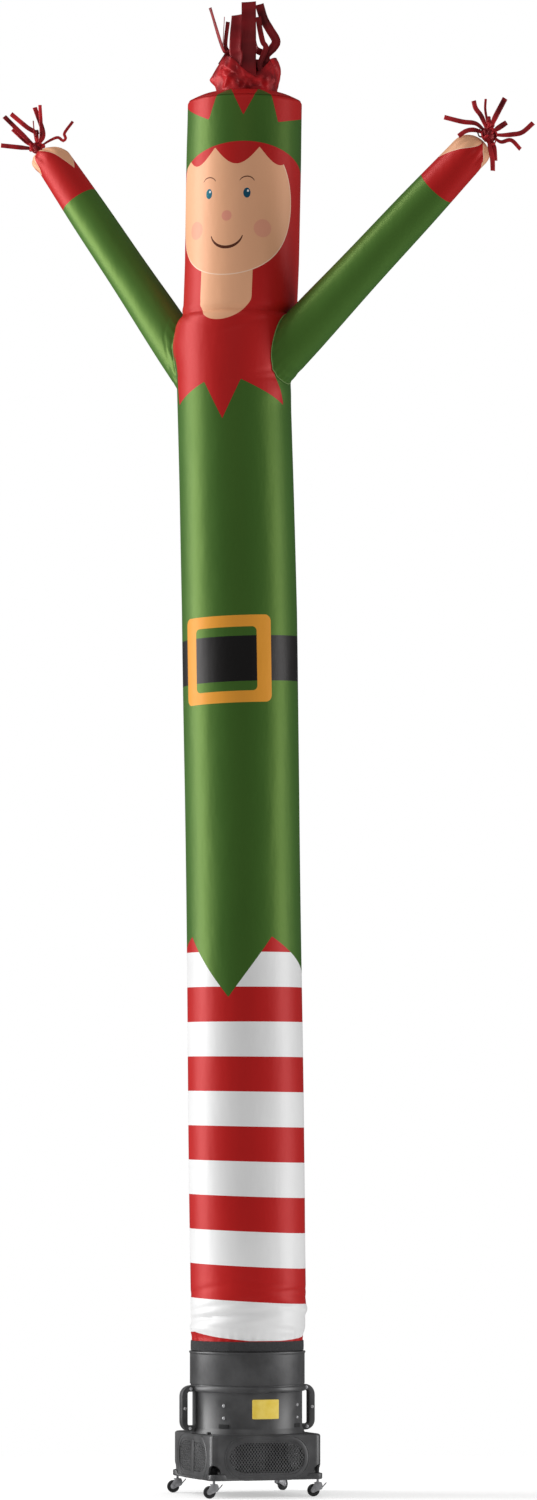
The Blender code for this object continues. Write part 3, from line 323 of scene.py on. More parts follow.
def costume(f, bearing, height):
    """The print of the long tube and its cap, from the striped legs up to the hat."""
    turn = bearing - FRONT
    side = ((bearing - SPREAD_TURN) * DEGREE).calc("SINE")
    slack = (STRIPE_SAG[0] - height | 0.0) * STRIPE_SAG[1]
    stripe = ((height + side * slack - STRIPE_FOOT) / STRIPE_PITCH).calc("FLOOR")
    low = height < STRIPE_FOOT + 0.5 * STRIPE_PITCH
    foot = low * (height < f.line(bearing, FOOT_EDGE))
    colour = f.mix((stripe.calc("PINGPONG", 1.0) > 0.5) * ~low | foot, WHITE, RED)
    colour = f.mix(height > f.line(bearing, SKIRT_EDGE), colour, GREEN)

    across = turn * ROUND_METRE
    level = height - across * BELT_SLOPE
    colour = f.mix((level > BELT[0]) * (level < BELT[1]), colour, BELT_BLACK)
    up = level - BUCKLE_HEIGHT
    outer = f.rounded(across, up, BUCKLE_OUTER, BUCKLE_CORNER)
    inner = f.rounded(across, up, BUCKLE_INNER, 0.7 * BUCKLE_CORNER)
    colour = f.mix(outer * ~inner, colour, GOLD)

    collar = height > f.line(bearing, COLLAR_EDGE)
    panel = ((bearing > f.line(height, PANEL_EDGE)) * (bearing < PANEL_BACK)
             * (height < PANEL_EDGE[-1][0]))
    colour = face(f, turn, height, f.mix(collar * ~panel, colour, RED))

    fall = 1.0 - ((bearing - HAT_EDGE[2]) * DEGREE).calc("COSINE")
    colour = f.mix(height > HAT_EDGE[0] - fall * HAT_EDGE[1], colour, GREEN)
    return f.mix(height > f.line(bearing, CROWN_EDGE), colour, RED)


def face(f, turn, height, colour):
    """A plain cheerful face of simple rounds, drawn for this piece: degrees and heights."""
    def oval(middle, halves):
        return f.oval(turn, height, middle, halves)

    neck = (oval((0.0, 4.748), (27.5, 0.096))
            | (abs(turn) < 27.5) * (height > 4.748) * (height < 4.98))
    colour = f.mix(neck, colour, SKIN_TONE)
    colour = f.mix(oval((0.0, 5.115), (73.5, 0.287)), colour, SKIN_EDGE)
    colour = f.mix(oval((0.0, 5.115), (72.5, 0.283)), colour, SKIN_TONE)
    for side in (-1.0, 1.0):
        eye = side * 20.0
        colour = f.mix(oval((side * 37.0, 5.015), (9.5, 0.036)) * 0.55, colour, BLUSH)
        colour = f.mix(oval((eye, 5.155), (3.6, 0.020)), colour, EYE_BLUE)
        colour = f.mix(oval((eye + 1.0, 5.163), (1.0, 0.0050)), colour, WHITE)
        brow = oval((eye, 5.196), (8.0, 0.027)) * ~oval((eye, 5.1925), (7.8, 0.026))
        colour = f.mix(brow * (height > 5.204), colour, BROWN)
    colour = f.mix(oval((0.0, 5.065), (5.2, 0.021)) * 0.8, colour, BLUSH)
    smile = oval((0.0, 4.995), (17.0, 0.062)) * ~oval((0.0, 5.003), (16.6, 0.058))
    colour = f.mix(smile * (height < 4.985), colour, BROWN)
    scallop = abs(((turn + 14.0) * (math.pi / 46.0)).calc("SINE"))
    return f.mix(height > 5.340 - scallop * 0.068, colour, RED)


def sleeve_paint(side):
    """Green sleeve, its green lightened as painted light, with a red pointed cuff and a
    skin-coloured hand; along is from the tip.
    """
    facing, point, half, slant, bow = CUFFS[side]
    tip, notch = CUFF_EDGE

    def paint(f, angle, from_tip):
        off = (angle - facing) * DEGREE
        level = from_tip - off.calc("COSINE") * bow
        # the sleeve's green carries painted light
        colour = f.mix(level < CUFF_SEAM[side], SLEEVE_GREEN_LIT, RED)
        zigzag = (angle - point).calc("PINGPONG", half) * ((notch - tip) / half) + tip
        edge = zigzag + off.calc("SINE") * slant
        colour = f.mix(from_tip < edge, colour, SKIN_EDGE)
        return f.mix(from_tip < edge - 0.004, colour, SKIN_TONE)
    return paint


# ---- streamers and strap: sizes -------------------------------------------------------------
BAND_SHARES = (0.74, 0.88, 0.985)
RIM_LEAN = 0.05
RIM_CLEARANCE = 0.022
RIM_DIP = (24.0, 38.0, 0.095)               # bearing, width, depth of the rim's open front
RIM_FLAP = (-78.0, 20.0, 0.36, 0.12, 0.014)     # bearing, width, share, half height, how far out
RIM_TUCK = (-78.0, 45.0, 0.022)
STRAP_BOTTOM, STRAP_TOP = 0.570, 0.609
STRAP_THICKNESS = 0.003
STRAP_LAP_EXTRA = 0.0028
STRAP_LAP = (-70.0, -5.0)

# Section of the strap: share of its thickness, less this, share of its height.
STRAP_SECTION = ((0, 0, 0.001), (0, 0, 0.9999), (1, 0.0005, 0.97), (1, 0, 0.5), (1, 0.0005, 0.03),
                 (0, 0, 0.001))
KNOT_RADIUS = {"left": 0.021, "right": 0.030}
KNOT_WRAPS = ((8, 0), (78, 20), (64, 110), (84, 200), (50, 300))     # lean off the arm, turn

# Loops of streamer beside each knot: mm across, behind and up, radius in mm, lean, turn.
KNOT_LOOPS = {
    "left": ((-24, -4, 4, 15, 70, 30), (-20, 6, -4, 13, 20, 140), (-4, 6, 62, 12, 60, 80),
             (18, 4, 14, 14, 75, 200)),
    "right": ((-4, -6, 34, 20, 74, 40), (4, 6, 40, 17, 30, 160), (-28, 4, 6, 18, 66, 120),
              (10, -4, -30, 16, 70, 250), (0, 4, 58, 12, 50, 10)),
}

# Each streamer: width, then the places it passes as across, behind and up from the knot, in mm.
HAND_STREAMERS = {
    "left": (
        (15.5, (-40, 0, 0), (-149, 0, 11)),
        (15.5, (-42, -12, 36), (-135, -20, 127)),
        (13, (-44, 16, 26), (-103, 20, 81)),
        (15.5, (-6, 12, 62), (-45, 16, 90), (-109, 20, 144)),
        (15.5, (24, 14, 62), (-12, 22, 171)),
        (12, (16, -14, 60), (11, -18, 175)),
        (4, (-10, -20, 40), (-16, -30, 108)),
        (10, (52, 0, 32), (84, 0, 44), (105, 0, 30), (116, 0, 42), (111, 0, 62), (145, 0, 110)),
    ),
    "right": (
        (15.5, (-52, 6, 44), (-105, 10, 52), (-176, 12, 70)),
        (15.5, (-60, -12, 16), (-92, -18, 10), (-121, -18, -10)),
        (15.5, (-30, 0, 72), (-52, 4, 104), (-60, 4, 134)),
        (8, (-8, 14, 62), (-14, 18, 104), (-12, 20, 144)),
        (18, (22, 2, 62), (64, 6, 144)),
        (18, (42, 10, 30), (70, 12, 49)),
        (15.5, (50, -6, -4), (90, -10, -2), (131, -10, 7), (174, -10, 44)),
        (13, (48, 14, -28), (88, 20, -20), (125, 22, -56)),
        (15.5, (2, -16, -50), (12, -22, -100), (14, -22, -148)),
        (15.5, (20, 2, -52), (24, 6, -104)),
    ),
}

# Each crown streamer: bearing of its root, number of band faces it grows from, width in mm, then
# the places it passes as mm across, behind and up from the middle of the spout's mouth.
CROWN_STREAMERS = (
    (16, 3, 58, (8, -86, 21), (8, -70, 208)),
    (-14, 3, 47, (-46, -82, 21), (-39, -66, 156)),
    (-52, 1, 24, (-94, -50, 17), (-147, -70, 184)),
    (-78, 1, 4, (-96, 0, 25), (-90, 6, 160)),
    (-100, 1, 16, (-86, 30, 50), (-76, 34, 145)),
    (64, 1, 36, (106, -56, 26), (117, -50, 55), (90, -42, 104), (68, -38, 145), (50, -36, 204)),
    (44, 1, 22, (76, -78, 20), (64, -72, 46), (52, -60, 102), (46, -56, 150)),
    (150, 2, 34, (34, 80, 48), (18, 100, 150)),
    (190, 3, 50, (-10, 86, 49), (-4, 80, 168)),
    (-130, 1, 14, (-58, 76, 47), (-44, 100, 130)),
)


# ---- geometry helpers -----------------------------------------------------------------------
def heading(bearing):
    angle = np.radians(np.asarray(bearing, float))
    return np.stack([np.sin(angle), -np.cos(angle), np.zeros_like(angle)], axis=-1)


def smooth_share(value, low, high):
    share = np.clip((value - low) / (high - low), 0.0, 1.0)
    return share * share * (3.0 - 2.0 * share)


def unit(vector):
    return vector / np.linalg.norm(vector, axis=-1, keepdims=True)


def swell(off):
    """Smooth bump, 1 at 0 and nearly 0 past 2 on either side."""
    return np.exp(-off * off)


def turn_off(bearing, middle):
    """Degrees from middle round to bearing, -180 to 180."""
    return (bearing - middle + 180.0) % 360.0 - 180.0


def columns_of(table):
    return [np.array(column) for column in zip(*table)]


def linked(name, data):
    """New object of the scene with this data."""
    made = bpy.data.objects.new(name, data)
    bpy.context.scene.collection.objects.link(made)
    return made


def finish_piece(piece, replaces=None, body=BODY):
    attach(piece, body)
    if replaces:
        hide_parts(replaces)
    return piece


def smooth_mesh(mesh, angle):
    mesh.shade_smooth()
    mesh.set_sharp_from_angle(angle=angle * DEGREE)


def mesh_object(name, verts, faces, material, uvs, angle=40.0):
    """Object from lists of points, faces and one UV per face corner."""
    mesh = bpy.data.meshes.new(name)
    mesh.from_pydata(np.asarray(verts).tolist(), [], faces)
    mesh.uv_layers.new(name="print").data.foreach_set("uv", np.asarray(uvs, np.float32).ravel())
    mesh.materials.append(material)
    mesh.validate()
    mesh.update()
    smooth_mesh(mesh, angle)
    return linked(name, mesh)


def grid_quads(rows, spans, columns):
    """Row and column of every face of a grid, and its corners' places among the points."""
    i, j = np.divmod(np.arange((rows - 1) * spans), spans)
    low, high, n = i * columns, (i + 1) * columns, (j + 1) % columns
    return i, j, np.stack([low + j, low + n, high + n, high + j], axis=1)


def grid_object(name, points, u, v, material, keep=None):
    """Cloth from rings of points: u has a value per point of a ring and one more, v one a ring.

    v may also be one value per point.  keep says which faces stay.
    """
    rows, columns = points.shape[:2]
    i, j, quads = grid_quads(rows, columns, columns)
    v = np.broadcast_to(v if np.ndim(v) == 2 else np.asarray(v)[:, None], (rows, columns)).ravel()
    ends = np.stack([u[j], u[j + 1], u[j + 1], u[j]], axis=1)
    uv = np.stack([ends, v[quads]], axis=2)
    if keep is not None:
        mask = keep[i, j]
        quads, uv = quads[mask], uv[mask]
    used, quads = np.unique(quads, return_inverse=True)
    verts = points.reshape(-1, 3)[used]
    return mesh_object(name, verts, quads.reshape(-1, 4).tolist(), material, uv)


def thicken(piece, thickness=SKIN, offset=-1.0):
    solid = piece.modifiers.new("thickness", "SOLIDIFY")
    solid.thickness = thickness
    solid.offset = offset


def weld(piece):
    piece.modifiers.new("weld", "WELD").merge_threshold = 1e-5


def ring_grid(bearings, heights):
    """Both coordinates at every point of closed rings."""
    return np.meshgrid(bearings[:-1], heights)


# ---- body tube ------------------------------------------------------------------------------
TUBE_COLUMNS = 200

# Heights from, to, and rows of faces between them.
TUBE_ZONES = ((HEM_BOTTOM, 0.86, 44), (0.86, 1.20, 12), (1.20, 4.22, 46), (4.22, 4.80, 64),
              (4.80, 5.52, 14), (5.52, TUBE_TOP, 8))


def tube_middle(height):
    height = np.asarray(height, float)
    lean = np.interp(height, *columns_of(LEAN))
    return np.stack([AXIS_X + lean, np.full_like(height, AXIS_Y), height], axis=-1)


def tube_radius(bearing, height):
    """Outer radius of the tube with its folds, for arrays of bearings and heights."""
    hem = smooth_share(height, HEM_FREE, HEM_FULL)
    radius = HEM_RADIUS + (TUBE_RADIUS - HEM_RADIUS) * hem + 0.0 * bearing
    for middle, turn, climb, depth, half_height, half_length in TUBE_FOLDS + TUBE_CREASES:
        along = np.radians(turn_off(bearing, turn)) * TUBE_RADIUS
        off = (height - middle - climb * along) / half_height
        radius = radius - depth * np.exp(-off * off - (along / half_length) ** 2)
    angle = np.radians(bearing)
    gather = np.sin(34 * angle + 1.7 * np.sin(3 * angle)) * (0.6 + 0.4 * np.sin(5 * angle + 1))
    radius = radius + (0.0017 * gather - 0.0012) * swell((height - HEM_FREE) / 0.030)
    slack = 0.0013 * np.sin(2 * angle + 3.1 * height) + 0.0010 * np.sin(3 * angle - 2.3 * height)
    radius = radius + slack * smooth_share(height, 0.8, 1.2) * (1 - smooth_share(height, 5.3, 5.5))
    rim = smooth_share(height, TUBE_TOP - RIM_ROUND, TUBE_TOP)
    return radius - (TUBE_RADIUS - CAP_RIM) * rim * rim


class Arm:
    """One arm as a straight, tapered tube with a domed tip, all angles in radians."""

    def __init__(self, side):
        bearing, root_height, climb, self.length, self.root_radius, self.cuff_radius = ARMS[side]
        self.out = heading(bearing)
        rise = climb * DEGREE
        up = np.array([0.0, 0.0, 1.0])
        self.droop = TIP_DROOP[side]
        self.root = tube_middle(root_height) + self.out * TUBE_RADIUS
        self.along = self.out * math.cos(rise) + up * math.sin(rise)
        self.under = self.out * math.sin(rise) - up * math.cos(rise)
        self.level = np.cross(self.along, self.under)
        self.tip = self.root + self.along * self.length + self.under * self.droop

    def radius(self, distance):
        dome_from = self.length - TIP_DOME
        share = np.minimum(distance / dome_from, 1.0)
        over = np.clip((distance - dome_from) / TIP_DOME, 0.0, 1.0)
        radius = self.root_radius + (self.cuff_radius - self.root_radius) * share
        return radius * np.sqrt(np.maximum(1.0 - over ** TIP_BLUNTNESS, 0.0))

    def around(self, angle):
        return self.under * np.cos(angle) + self.level * np.sin(angle)

    def point(self, distance, angle, grow=0.0):
        radius = (self.radius(distance) + grow)[..., None]
        distance = distance[..., None]
        droop = self.droop * smooth_share(distance, self.length - TIP_DOME, self.length)
        spot = self.root + self.along * distance + self.under * droop
        return spot + self.around(angle[..., None]) * radius

    def root_distance(self, angle):
        """Where the lines of the arm at these angles leave the tube's surface."""
        near, far = np.full_like(angle, -0.26), np.full_like(angle, 0.30)
        for _ in range(40):
            middle = (near + far) / 2
            place = self.point(middle, angle)
            off = place - tube_middle(place[..., 2])
            bearing = np.degrees(np.arctan2(off[..., 0], -off[..., 1]))
            reach = tube_radius(bearing, place[..., 2]) + ARM_LIFT
            inside = np.hypot(off[..., 0], off[..., 1]) < reach
            near, far = np.where(inside, middle, near), np.where(inside, far, middle)
        return far

    def holds(self, places):
        """Which places lie well inside the arm's own round."""
        off = places - self.root
        along = off @ self.along
        reach = np.linalg.norm(off - along[..., None] * self.along, axis=-1)
        return (reach < self.radius(np.maximum(along, 0.0)) - 0.014) & (along > -0.30)


def build_tube(material):
    heights = [HEM_BOTTOM]
    for low, high, steps in TUBE_ZONES:
        heights += list(np.linspace(low, high, steps + 1)[1:])
    bearings = np.linspace(-180.0, 180.0, TUBE_COLUMNS + 1)
    grid_b, grid_h = ring_grid(bearings, heights)
    out = heading(grid_b) * tube_radius(grid_b, grid_h)[..., None]
    keep = np.ones((len(heights) - 1, TUBE_COLUMNS), bool)
    for side in ARMS:
        arm = Arm(side)
        inside = arm.holds(tube_middle(grid_h) + out)
        ring = inside & np.roll(inside, -1, axis=1)
        keep &= ~(ring[:-1] & ring[1:] & (out @ arm.out > 0.0)[:-1])
    tube = grid_object("tube_cloth", tube_middle(grid_h) + out, bearings, heights, material, keep)
    thicken(tube)
    return finish_piece(tube, "body_tube")


def cap_height(radius):
    share = np.clip((CAP_RIM - radius) / (CAP_RIM - SPOUT_FOOT), 0.0, 1.0)
    return TUBE_TOP + CAP_LIFT + CAP_RISE * np.sin(share * np.pi / 2)


def build_cap(material):
    radii = np.concatenate([np.linspace(CAP_HOLE, SPOUT_FOOT, 4), np.linspace(0.127, CAP_RIM, 16)])
    bearings = np.linspace(-180.0, 180.0, 145)
    grid_b, grid_r = ring_grid(bearings, radii)
    pucker = 0.0010 * np.sin(40 * np.radians(grid_b)) * swell((grid_r - SPOUT_FOOT) / 0.014)
    points = tube_middle(TUBE_TOP) + heading(grid_b) * grid_r[..., None]
    points[..., 2] = cap_height(grid_r) + pucker
    cap = grid_object("cap_cloth", points, bearings, TUBE_TOP + (CAP_RIM - grid_r), material)
    thicken(cap, offset=1.0)
    return finish_piece(cap, "head_cap")


def build_seam(name, path, radius, material, sides=8):
    """Round bead along a closed path of points."""
    ahead = unit(np.roll(path, -1, axis=0) - np.roll(path, 1, axis=0))
    side = unit(np.cross(ahead, path - path.mean(axis=0)))
    up = np.cross(side, ahead)
    angles = np.linspace(0.0, 2 * np.pi, sides, endpoint=False)[:, None]
    off = np.cos(angles) * side[:, None] + np.sin(angles) * up[:, None]
    points = path[:, None] + radius * off
    points = np.concatenate([points, points[:1]])
    round_it = np.linspace(0.0, 2 * np.pi * radius, sides + 1)
    seam = grid_object(name, points, round_it, np.linspace(0.0, 0.7, len(points)), material)
    weld(seam)
    finish_piece(seam)


def build_arm(side, material, seam_material):
    """Sleeve from the tube's surface to its gathered tip, and the bead round its root."""
    arm = Arm(side)
    angles = np.linspace(0.0, 2 * np.pi, 101)
    a = angles[:-1]
    root = arm.root_distance(a)
    first = 0.16
    dome_from = arm.length - TIP_DOME
    near = [root + (first - root) * s for s in np.linspace(0.0, 1.0, 19)[:-1] ** 1.4]
    over = 1.0 - (1.0 - np.linspace(0.0, 1.0, 21)[1:]) ** 1.6
    rest = np.concatenate([np.linspace(first, dome_from - 0.07, 26),
                           np.linspace(dome_from - 0.07, dome_from, 9)[1:],
                           dome_from + TIP_DOME * np.minimum(over, 0.998)])
    distance = np.stack(near + [np.full(len(a), d) for d in rest])
    turn = np.broadcast_to(a, distance.shape)
    from_root = distance - root
    from_tip = arm.length - distance
    pucker = 0.0019 * np.sin(22 * turn + 2 * np.sin(2 * turn)) * np.exp(-from_root / 0.030)
    pucker -= 0.0016 * swell((from_root - 0.012) / 0.008)
    crease = 0.0024 * swell((from_root - 0.050 - 0.022 * np.sin(turn)) / 0.010)
    crease *= 0.5 + 0.5 * np.cos(turn - 0.4)
    slack = 0.0011 * np.sin(2 * turn + 9.0 * distance) * smooth_share(from_root, 0.05, 0.2)
    gather = np.sin(11 * turn + 1.3 * np.sin(2 * turn)) * 0.055
    gather = gather * arm.radius(distance) * smooth_share(-from_tip, -0.11, -0.015)
    gather = np.where(gather < 0.0, 1.6, 0.3) * gather
    points = arm.point(distance, turn, pucker - np.abs(crease) + slack - 0.0006 + gather)
    sleeve = grid_object("sleeve_" + side, points, np.degrees(angles), from_tip, material)
    thicken(sleeve)
    build_seam("seam_" + side, arm.point(root + 0.0010, a, 0.0006), 0.0021, seam_material)
    return finish_piece(sleeve, "arm_" + side)


# ---- crown spout ----------------------------------------------------------------------------
# Share of the spout's height, radius, depth of its gathers.
SPOUT_SECTIONS = (
    (0, 0.12, 0.002), (0.2, 0.122, 0.003), (0.38, 0.128, 0.005), (0.55, 0.129, 0.006),
    (0.72, 0.126, 0.006), (0.88, 0.12, 0.006), (1, 0.112, 0.006),
)

# Creases of the spout: bearing and share at one end, the same at the other, width, depth.
SPOUT_CREASES = (
    (-46, 0.66, -14, 0.54, 5, -0.011), (-50, 0.5, -24, 0.41, 4.5, 0.006),
    (-8, 0.64, -34, 0.14, 5, 0.0075), (10, 0.6, 2, 0.1, 4.5, -0.005),
    (36, 0.8, 48, 0.1, 5.5, -0.0065), (64, 0.95, 76, 0.3, 5, 0.005),
    (84, 0.7, 100, 0.35, 6, -0.007), (126, 0.9, 112, 0.2, 6, 0.006),
    (150, 0.6, 170, 0.3, 7, -0.007), (-160, 0.85, -172, 0.15, 6, 0.006),
    (-128, 0.7, -140, 0.25, 6, -0.007), (-104, 0.8, -96, 0.2, 5, -0.006),
)
SPOUT_MIDDLE = tube_middle(TUBE_TOP) + np.array([SPOUT_SHIFT, 0.0, 0.0])


def spout_point(bearing, share, inset=0.0):
    """Points on the spout's wall, with its dipped front rim and its flap at one side."""
    angle = np.radians(bearing)
    wave = 0.7 * np.sin(8 * angle + 0.9 * np.sin(2 * angle)) + 0.3 * np.sin(4 * angle + 1.1)
    shares, radii, depths = columns_of(SPOUT_SECTIONS)
    radius = np.interp(share, shares, radii) + np.interp(share, shares, depths) * wave
    turn, width, middle, reach, out = RIM_FLAP
    flap = swell(turn_off(bearing, turn) / width) * swell((share - middle) / reach)
    turn, width, tuck = RIM_TUCK
    drawn_in = tuck * swell(turn_off(bearing, turn) / width) * smooth_share(share, 0.5, 1.0)
    radius = radius + out * flap - drawn_in - inset
    foot = cap_height(SPOUT_FOOT) + 0.0004
    turn, width, dip = RIM_DIP
    dipped = dip * swell(turn_off(bearing, turn) / width)
    top = SPOUT_TOP + 0.006 * np.sin(2 * angle + 60 * DEGREE) - dipped
    points = SPOUT_MIDDLE + heading(bearing) * np.asarray(radius)[..., None]
    points[..., 2] = foot + (top - foot) * share
    return points


def build_spout(material):
    bearings = np.linspace(-180.0, 180.0, 193)
    shares = np.linspace(0.0, 1.0, 46)
    grid_b, grid_s = ring_grid(bearings, shares)
    angle = np.radians(grid_b)
    out = 0.0035 * np.sin(5 * angle + 7.0 * grid_s) * np.sin(np.pi * grid_s)
    out += 0.0012 * np.sin(21 * angle + 5.0 * grid_s + 2.0 * np.sin(3 * angle)) * (0.3 + grid_s)
    for b0, s0, b1, s1, width, depth in SPOUT_CREASES:
        run = np.array([b1 - b0, 100.0 * (s1 - s0)])
        off = np.stack([turn_off(grid_b, b0), 100.0 * (grid_s - s0)], axis=-1)
        along = np.clip(off @ run / (run @ run), 0.0, 1.0)
        out += depth * swell(np.linalg.norm(off - run * along[..., None], axis=-1) / width)
    points = spout_point(grid_b, grid_s, -out * smooth_share(grid_s, 0.0, 0.10))
    piece = grid_object("spout_cloth", points, bearings, shares * 0.16, material)
    thicken(piece)
    return finish_piece(piece, "crown_spout")


# ---- streamers ------------------------------------------------------------------------------
def spread_vector(across, behind, up):
    """World vector of a step across, behind and up, seen square to the arms' plane."""
    return (heading(SPREAD_TURN + 90.0) * across + heading(SPREAD_TURN + 180.0) * behind
            + np.array([0.0, 0.0, up]))


def smooth_path(points, steps):
    """Even points on a Catmull-Rom curve through the given ones, and its length."""
    full = np.vstack([2 * points[0] - points[1], points, 2 * points[-1] - points[-2]])
    t = np.linspace(0.0, 1.0, 24, endpoint=False)[:, None]
    fine = [0.5 * (2 * p1 + (p2 - p0) * t + (2 * p0 - 5 * p1 + 4 * p2 - p3) * t * t
                   + (3 * p1 - p0 - 3 * p2 + p3) * t ** 3)
            for p0, p1, p2, p3 in zip(full, full[1:], full[2:], full[3:])]
    fine = np.vstack(fine + [points[-1:]])
    length = np.concatenate([[0.0], np.cumsum(np.linalg.norm(np.diff(fine, axis=0), axis=1))])
    even = np.linspace(0.0, length[-1], steps)
    return np.stack([np.interp(even, length, column) for column in fine.T], axis=1), length[-1]


class Ribbons:
    """Several soft strips gathered into one mesh."""

    def __init__(self, rows=26, columns=6):
        self.rows, self.columns = rows, columns
        self.verts, self.faces, self.uvs = [], [], []
        self.area = 0.0

    def add_grid(self, points, u, v):
        rows, columns = points.shape[:2]
        uv = np.stack(np.broadcast_arrays(u, v), axis=-1).reshape(-1, 2)
        quads = grid_quads(rows, columns - 1, columns)[2]
        self.faces += (quads + len(self.verts)).tolist()
        self.verts += points.reshape(-1, 3).tolist()
        self.uvs += uv[quads].reshape(-1, 2).tolist()

    def strip(self, places, widths, side, cup, twist, wave, seed):
        """One strip along places, with side as the direction of its width at the root."""
        path, length = smooth_path(np.array(places), self.rows)
        ahead = unit(np.gradient(path, axis=0))
        share = np.linspace(0.0, 1.0, self.rows)
        across = np.linspace(-0.5, 0.5, self.columns)[:, None]
        points = []
        for s, spot, forward in zip(share, path, ahead):
            side = unit(side - forward * (side @ forward))
            face = np.cross(forward, side)
            turn = twist * DEGREE * s ** 1.5
            turned = side * math.cos(turn) + face * math.sin(turn)
            outward = face * math.cos(turn) - side * math.sin(turn)
            width = np.interp(s, (0.0, 0.35, 1.0), widths)
            ripple = wave * width * math.sin(9.0 * s + seed) * (0.3 + s)
            bend = cup * width * (1.0 - 4.0 * across ** 2) + ripple * across * 2.0
            slant = forward * (0.10 * width * across * math.sin(seed) * s)
            points.append(spot + turned * (width * across) + outward * bend + slant)
        self.add_grid(np.array(points), across.T * widths[1] + seed, (share * length)[:, None])
        self.area += length * widths[1]

    def knot(self, middle, along, radius):
        """Wrapped, creased ball of cloth."""
        side = unit(np.cross(along, [0.0, 0.0, 1.0]))
        up = np.cross(side, along)
        phi, theta = np.meshgrid(np.linspace(0.0, 2 * np.pi, 41),
                                 np.linspace(0.02, np.pi - 0.02, 25))
        swirl = phi + 1.6 * np.cos(theta)
        ridge = np.abs(np.sin(3.5 * swirl + 0.8 * np.sin(2 * phi)))
        size = radius * (0.96 + 0.10 * ridge + 0.05 * np.sin(3 * phi + 2 * theta))
        size[:, -1] = size[:, 0]
        ring = np.sin(theta) * size
        points = (middle + along * (np.cos(theta) * size * 1.06)[..., None]
                  + side * (ring * np.cos(phi))[..., None] + up * (ring * np.sin(phi))[..., None])
        self.add_grid(points, phi * radius, theta * radius)
        self.area += 4.0 * math.pi * radius ** 2

    def wrap(self, middle, normal, radius, width, seed):
        """A turn of ribbon drawn tight round the knot."""
        side = unit(np.cross(normal, [0.31, 0.52, 0.80]))
        up = np.cross(normal, side)
        across, turn = np.meshgrid(np.linspace(-0.5, 0.5, 5), np.linspace(0.0, 2 * np.pi, 29))
        size = radius * (1.0 + 0.07 * np.sin(2 * turn + seed) + 0.05 * np.sin(5 * turn + seed))
        size = size + width * (0.16 - 0.9 * across ** 2)
        lift = across * width * (0.8 + 0.25 * np.sin(3 * turn + seed))
        points = (middle + side * (np.cos(turn) * size)[..., None]
                  + up * (np.sin(turn) * size)[..., None] + normal * lift[..., None])
        self.add_grid(points, across * width + seed, turn * radius)
        self.area += 2.0 * math.pi * radius * width

    def build(self, name, material, replaces):
        piece = mesh_object(name, self.verts, self.faces, material, self.uvs, angle=60.0)
        thicken(piece, 0.0006, 0.0)
        return finish_piece(piece, replaces)


def build_hand_ribbons(side, material):
    arm = Arm(side)
    radius = KNOT_RADIUS[side]
    middle = arm.tip + arm.along * (1.16 * radius + 0.002)
    ribbons = Ribbons()
    ribbons.knot(middle, arm.along, radius * 0.90)

    def lean_off(lean, turn):
        lean, turn = lean * DEGREE, turn * DEGREE
        return arm.along * math.cos(lean) + arm.around(turn) * math.sin(lean)

    for k, lean in enumerate(KNOT_WRAPS):
        size = radius * (0.97 + 0.05 * (k % 3))
        ribbons.wrap(middle, lean_off(*lean), size, 0.013 + 0.003 * (k % 2), 1.3 * k)
    for k, (*step, size, lean, turn) in enumerate(KNOT_LOOPS[side]):
        spot = middle + spread_vector(*step) * MM
        ribbons.wrap(spot, lean_off(lean, turn), size * MM, 0.014, 7.0 + 2.3 * k)
    for k, (width, *steps) in enumerate(HAND_STREAMERS[side]):
        places = [middle + spread_vector(*step) * MM for step in steps]
        root = middle + unit(places[0] - middle) * radius * 0.80
        flat = np.cross(places[-1] - root, spread_vector(0.0, 1.0, 0.0))
        width *= 1.22 * MM
        ribbons.strip([root] + places, (0.60 * width, width, width), flat, 0.10,
                      16.0 * math.sin(2.1 * k), 0.05, 1.7 * k)
    return ribbons.build("hand_ribbons_" + side, material, "hand_streamers_" + side), ribbons


def build_crown_ribbons(material):
    """Ten strips on a band inside the spout's mouth."""
    ribbons = Ribbons(rows=34, columns=9)
    mouth = SPOUT_MIDDLE.copy()
    mouth[2] = SPOUT_TOP
    bearings = np.linspace(-180.0, 180.0, 97)
    band = np.stack([spout_point(bearings, share, 0.0075) for share in BAND_SHARES])
    ribbons.add_grid(band, np.radians(bearings) * 0.12, np.array([[0.0], [0.02], [0.04]]))
    ribbons.area += 2 * math.pi * 0.12 * 0.045
    for k, (bearing, count, width, *steps) in enumerate(CROWN_STREAMERS):
        width *= MM
        clear = spout_point(bearing, 0.985, 0.009)
        clear = clear + (mouth - clear) * RIM_LEAN + np.array([0.0, 0.0, RIM_CLEARANCE])
        places = [spout_point(bearing, 0.80, 0.008), clear]
        places += [mouth + spread_vector(*step) * MM for step in steps]
        root = max(0.020 * count, 0.8 * width)
        if count > 1:
            side, cup, neck = heading(bearing + 90.0), 0.06, 0.5 * (root + width)
        else:
            side, cup, neck = spread_vector(1.0, 0.0, 0.0), 0.12, width
        ribbons.strip(places, (root, neck, width), side, cup, 8.0 * math.sin(1.3 * k), 0.03,
                      0.9 + 1.1 * k)
    return ribbons.build("crown_ribbons", material, "crown_streamers"), ribbons


